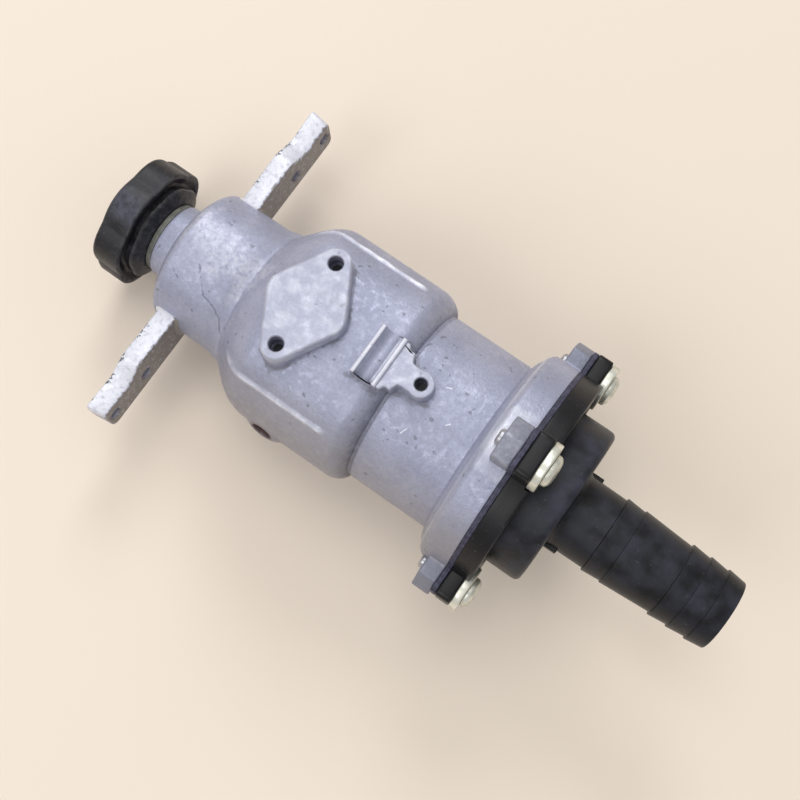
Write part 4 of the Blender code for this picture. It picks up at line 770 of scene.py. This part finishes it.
# Each point is (along, r, share), where share is how much of the lobes reaches it.
knob_line = rounded([
    (-12.6, 0.03, 0.0), (-12.6, 12.6, 0.3), (-12.45, 14.4, 0.8), (-12.1, 15.5, 1.0), (-11.6, 15.75, 1.0),
    (-5.1, 15.75, 1.0), (-4.8, 15.5, 1.0), (-4.8, 14.6, 0.9), (-5.9, 12.9, 0.7), (-5.6, 12.1, 0.6),
    (-4.4, 12.1, 0.5), (-3.6, 12.6, 0.6), (-2.9, 12.3, 0.5), (-2.1, 10.6, 0.2), (-1.5, 9.6, 0.0),
    (-1.5, 5.5, 0.0), (-9.5, 5.5, 0.0), (-9.5, 3.2, 0.0), (-11.0, 3.2, 0.0), (-11.0, 0.03, 0.0),
], 0.16, 4)
LOBES, LOBE_TURN, LOBE_HEIGHT = 7, math.radians(98.0), 0.5
t = np.linspace(0, math.tau, 420, endpoint=False)
lobe = 2 * (0.5 + 0.5 * np.cos(LOBES * (t - LOBE_TURN))) ** 0.65 - 1
along, radius, share = finer(knob_line, 0.7).T[:, :, None]
reach = np.maximum(radius + LOBE_HEIGHT * share * lobe, NEEDLE)
points, faces = shell(np.stack([along + 0 * t, reach * np.cos(t), reach * np.sin(t)], -1), False)
x, y, z = points.T
# Where the rim's edges are painted paler: handling wear and painted highlight.
worn_and_lit = (bell(x, -4.9, 0.25) + bell(x, -12.0, 0.3)) * step(np.hypot(y, z), 13.8, 14.8)
piece("hand_knob", (points, faces), knob_plastic, "plunger", ["knob"], np.clip(worn_and_lit, 0, 1))

# Knob insert: a turned brass nut moulded into the knob, which the rod screws into. Only its ends are bare,
# and they have the liner's brass.
front, back = ends("knob_insert")
insert_line = rounded([(front, 3.2), (back, 3.2), (back, 5.2), (front, 5.2)], 0.2, 3, True)
piece("brass_insert", turned(insert_line, 72), liner_brass, "plunger", ["knob_insert"])

# Piston: a white plastic piston with a rubber ring, a guide ring and a rubber disc valve, held on the rod by
# steel washers and a nut. It is out of sight and keeps the model's shapes.
dress(seal_rubber, "piston_seal", "piston_valve_disc")
dress(white_plastic, "piston", "piston_guide_ring")
dress(bright_steel, "valve_stop_washer", "piston_washer", "piston_nut")


# Gasket: a thin dark blue-grey rubber sheet cut to the flange's outline, squeezed under the cover. Its cut
# edge shows as a line between the flange and the cover.
def spin(angle):
    """What turns rows of points (x, y) by an angle: (x cos a - y sin a, x sin a + y cos a)."""
    return np.array([[math.cos(angle), math.sin(angle)], [-math.sin(angle), math.cos(angle)]])


def flange_edge(rim, reach, half_width):
    """A circle of radius rim with four square lugs that reach out on the axes, as one outline."""
    lean = math.asin(half_width / rim)
    root = rim * math.cos(lean)
    lug = np.array([(root, -half_width), (reach, -half_width), (reach, half_width), (root, half_width)])
    s = np.linspace(lean, math.pi / 2 - lean, 26)[1:-1]
    rim_arc = rim * np.stack([np.cos(s), np.sin(s)], -1)
    lug = np.concatenate([lug[:1], rounded(lug, 1.8, 6)[1:-1], lug[-1:]])
    return np.concatenate([np.concatenate([lug, rim_arc]) @ spin(a) for a in SCREW_TURNS])


gasket_rubber = mottled(
    "gasket rubber", (0.026, 0.025, 0.052), (0.06, 0.058, 0.105), 0.03, 900.0, 0.35, 0.65, Roughness=0.6
)
screw_holes = [plug([(95.0, 2.3), (112.0, 2.3)], 32, "X", centre) for centre in screw_places]
gasket_hole = plug([(100.0, 18.9), (104.0, 18.9)], 96, "X")
gasket = carve(slab(flange_edge(28.3, 34.3, 5.5), 101.62, 102.88, "X", 0.2), gasket_hole, *screw_holes)
piece("flange_gasket", gasket, gasket_rubber, "casting", ["cover_gasket"])

# Foot valve: a white plastic plate with ports, a rubber disc, and a bolt with its nut, behind the cover. Only
# the bolt's end shows, down the hose bore, and they keep the model's shapes.
dress(white_plastic, "valve_plate")
dress(seal_rubber, "foot_valve_disc")
dress(bright_steel, "foot_valve_bolt", "foot_valve_nut")

# End cover: moulded black plastic flange with four lugs, a round boss and a barbed hose tail. Dust lies on it
# in bluish spots, more on the side that is up and past the lugs, and that lighter upper side is also painted
# sheen.
COVER_FRONT = 102.9
cover_plastic, tree, shader, where = finish("cover plastic", Roughness=0.42, Specular_IOR_Level=0.28)
dust_and_sheen = spots(tree, where, 210.0, 0.22, 0.80, 4.0)
along, across, up = apart(tree, where)
past_lugs = ramp(tree, along, behind_face(107.0), behind_face(109.0), 0.1, 1.0)
# Partly dust, partly painted sheen: lighter and bluish towards the top and past the lugs.
dust_and_sheen = times(tree, dust_and_sheen, ramp(tree, up, -0.002, 0.016, 0.1, 1.0), past_lugs)
crumbs = spots(tree, where, 1100.0, 0.66, 0.76, 2.0)
colour = mix(tree, dust_and_sheen, (0.004, 0.004, 0.005), (0.040, 0.043, 0.062))
colour = paint(tree, colour, (0.16, 0.16, 0.17), crumbs, 0.2)
roughness = ramp(tree, dust_and_sheen, 0.0, 1.0, 0.36, 0.56)
wire(tree, shader, Base_Color=colour, Roughness=roughness, height=times(tree, crumbs, 0.02))
plate_hole = plug([(101.0, 21.0), (109.0, 21.0)], 96, "X")
lug_plate = carve(slab(flange_edge(28.1, 34.5, 5.7), COVER_FRONT, 106.8, "X", 0.5), *screw_holes, plate_hole)
barb = [
    (127.25, 9.5), (127.4, 10.05), (132.1, 9.65), (132.25, 9.65), (132.4, 10.0), (145.3, 9.15),
    (145.45, 9.15), (145.6, 9.75), (150.2, 9.25), (150.35, 9.25), (150.5, 9.7), (155.1, 9.15),
    (155.25, 9.15), (155.4, 9.6),
]
cover_line = rounded(
    [(COVER_FRONT, 19.8), (COVER_FRONT, 28.4), (107.9, 28.4), (107.9, 22.4), (107.0, 22.4), (107.0, 20.8),
     (117.0, 20.8), (117.0, 9.65), *barb, (160.0, 9.0), (160.0, 7.2), (113.5, 7.2), (113.5, 16.0),
     (106.1, 16.0), (106.1, 19.8)],
    [0.2, 0.2, 0.45, 0.2, 0.2, 0.3, 1.9, 1.6] + [0.08] * len(barb) + [0.4, 0.3, 0.3, 0.5, 0.3, 0.3], 6, True,
)
spot_faces = [plug([(106.8, 6.5), (112.0, 6.5)], 64, "X", centre) for centre in screw_places]
spigot = carve(turned(finer(cover_line, 1.2, True), 160), *spot_faces, *screw_holes)
ribs = []
for side in SIDES:
    low, high = sorted([side * 8.6, side * 10.5])
    box = rounded([(116.5, low), (120.4, low), (120.4, high), (116.5, high)], 0.3, 3, True)
    ribs.append(slab(box, -1.2, 1.2, "Z", 0.25))
piece("hose_cover", join(lug_plate, spigot, *ribs), cover_plastic, "casting", ["end_cover"])

# Cover screws and washers: four zinc-plated pan-head screws with a cross recess, each on a thick washer. They
# hold the cover and its gasket to the flange's bosses.
zinc, tree, shader, where = finish("zinc plate", Metallic=0.75, Roughness=0.38)
cloud = spots(tree, where, 380.0, 0.35, 0.7, 4.0)
colour = mix(tree, cloud, (0.62, 0.62, 0.54), (0.86, 0.86, 0.78))
thread = ramp(tree, apart(tree, where)[0], behind_face(101.0), behind_face(97.5))
colour = paint(tree, colour, (0.42, 0.42, 0.45), thread)
roughness = ramp(tree, cloud, 0.0, 1.0, 0.5, 0.3)
wire(tree, shader, Base_Color=colour, Roughness=roughness, height=times(tree, cloud, 0.02))
washer_ring = rounded([(106.84, 2.3), (106.84, 6.0), (108.8, 6.0), (108.8, 2.3)], 0.4, 5, True)
head = rounded(
    [(95.6, NEEDLE), (95.6, 1.5), (96.1, 2.0), (108.85, 2.0), (108.85, 3.9), (109.9, 3.8), (110.55, 2.9),
     (110.8, 1.6), (110.8, NEEDLE)], [0.1, 0.1, 0.1, 0.1, 0.2, 0.4, 0.5, 0.5, 0.1], 4,
)
arm = np.array([(1.95, -0.475), (1.95, 0.475), (0.475, 0.475)])
for number, (a, centre) in enumerate(zip(SCREW_TURNS, screw_places), 1):
    cross = [arm @ spin(a + 0.5 + quarter * math.pi / 2) for quarter in range(4)]
    cross = slab(np.concatenate(cross) + centre, 109.7, 113.0, "X", 0.05)
    screw = carve(turned(head, 48, "X", centre, loop=False), cross)
    washer = turned(washer_ring, 64, "X", centre)
    piece(f"pan_screw_{number}", screw, zinc, "casting", [f"cover_screw_{number}"])
    piece(f"flat_washer_{number}", washer, zinc, "casting", [f"cover_washer_{number}"])

# Table: a pale warm sheet under the pump. The pump rests on its lower flange boss and on the bulge, so it
# leans, and the sheet is laid along the line between the two.
bulge_rest, boss_rest = (38.7, -25.69), (96.9, -35.2)
UNDER_BOSS, SHEET = -35.3, 3000.0
table_finish, tree, shader, where = finish("table", Roughness=0.8)
cloud = spots(tree, where, 4.0, 0.3, 0.7, 2.0)
wire(tree, shader, Base_Color=mix(tree, cloud, (0.88, 0.765, 0.645), (0.895, 0.785, 0.665)))
slope = (bulge_rest[1] - boss_rest[1]) / (bulge_rest[0] - boss_rest[0])
corners = SHEET * np.array([(-1.0, -1.0), (1.0, -1.0), (1.0, 1.0), (-1.0, 1.0)])
corners = np.column_stack([corners, UNDER_BOSS + slope * (corners[:, 0] - boss_rest[0])])
table_mesh = bpy.data.meshes.new("table")
table_mesh.from_pydata(((corners + [COLLAR_FACE, 0, 0]) * 0.001).tolist(), [], [[0, 1, 2, 3]])
table_mesh.materials.append(table_finish)
table = bpy.data.objects.new("table", table_mesh)
bpy.context.scene.collection.objects.link(table)

# Light: an even white room, a wide soft box over the pump, a second one beyond its far side and a weaker one
# on the near side.
scene = bpy.context.scene
scene.world = bpy.data.worlds.new("room")
scene.world.use_nodes = True
scene.world.node_tree.nodes["Background"].inputs["Strength"].default_value = 0.48
scene.world.node_tree.nodes["Background"].inputs["Color"].default_value = (1.0, 1.0, 1.0, 1.0)


def soft_box(name, stand, size, power):
    """A square lamp at stand, in metres, that faces the pump's middle."""
    lamp = bpy.data.lights.new(name, "AREA")
    lamp.shape, lamp.size, lamp.energy = "SQUARE", size, power
    made = bpy.data.objects.new(name, lamp)
    made.location = stand
    made.rotation_euler = made.location.to_track_quat("Z", "Y").to_euler()
    scene.collection.objects.link(made)


soft_box("overhead", (-0.24, 0.30, 1.7), 0.9, 6.7)
soft_box("far side", (-0.50, 1.10, 1.10), 0.6, 8.0)
soft_box("near side", (-0.30, -1.00, 1.20), 0.9, 7.2)

# Camera: where the photograph was taken from, above the pump and a little to its front right. right, up and
# back are the directions of its own axes.
lens = bpy.data.cameras.new("photo")
lens.lens, lens.sensor_width = 56.568, 36.0
lens.clip_start, lens.clip_end = 0.01, 20.0
camera = bpy.data.objects.new("photo", lens)
right, up = (0.816281, 0.576882, -0.029895), (-0.559277, 0.802211, 0.208967)
back, station = (0.144525, -0.153858, 0.977469), (0.039569, -0.047649, 0.295283)
camera.matrix_world = Matrix([*zip(right, up, back, station), (0, 0, 0, 1)])
scene.collection.objects.link(camera)
scene.camera = camera
scene.view_settings.view_transform = "Standard"
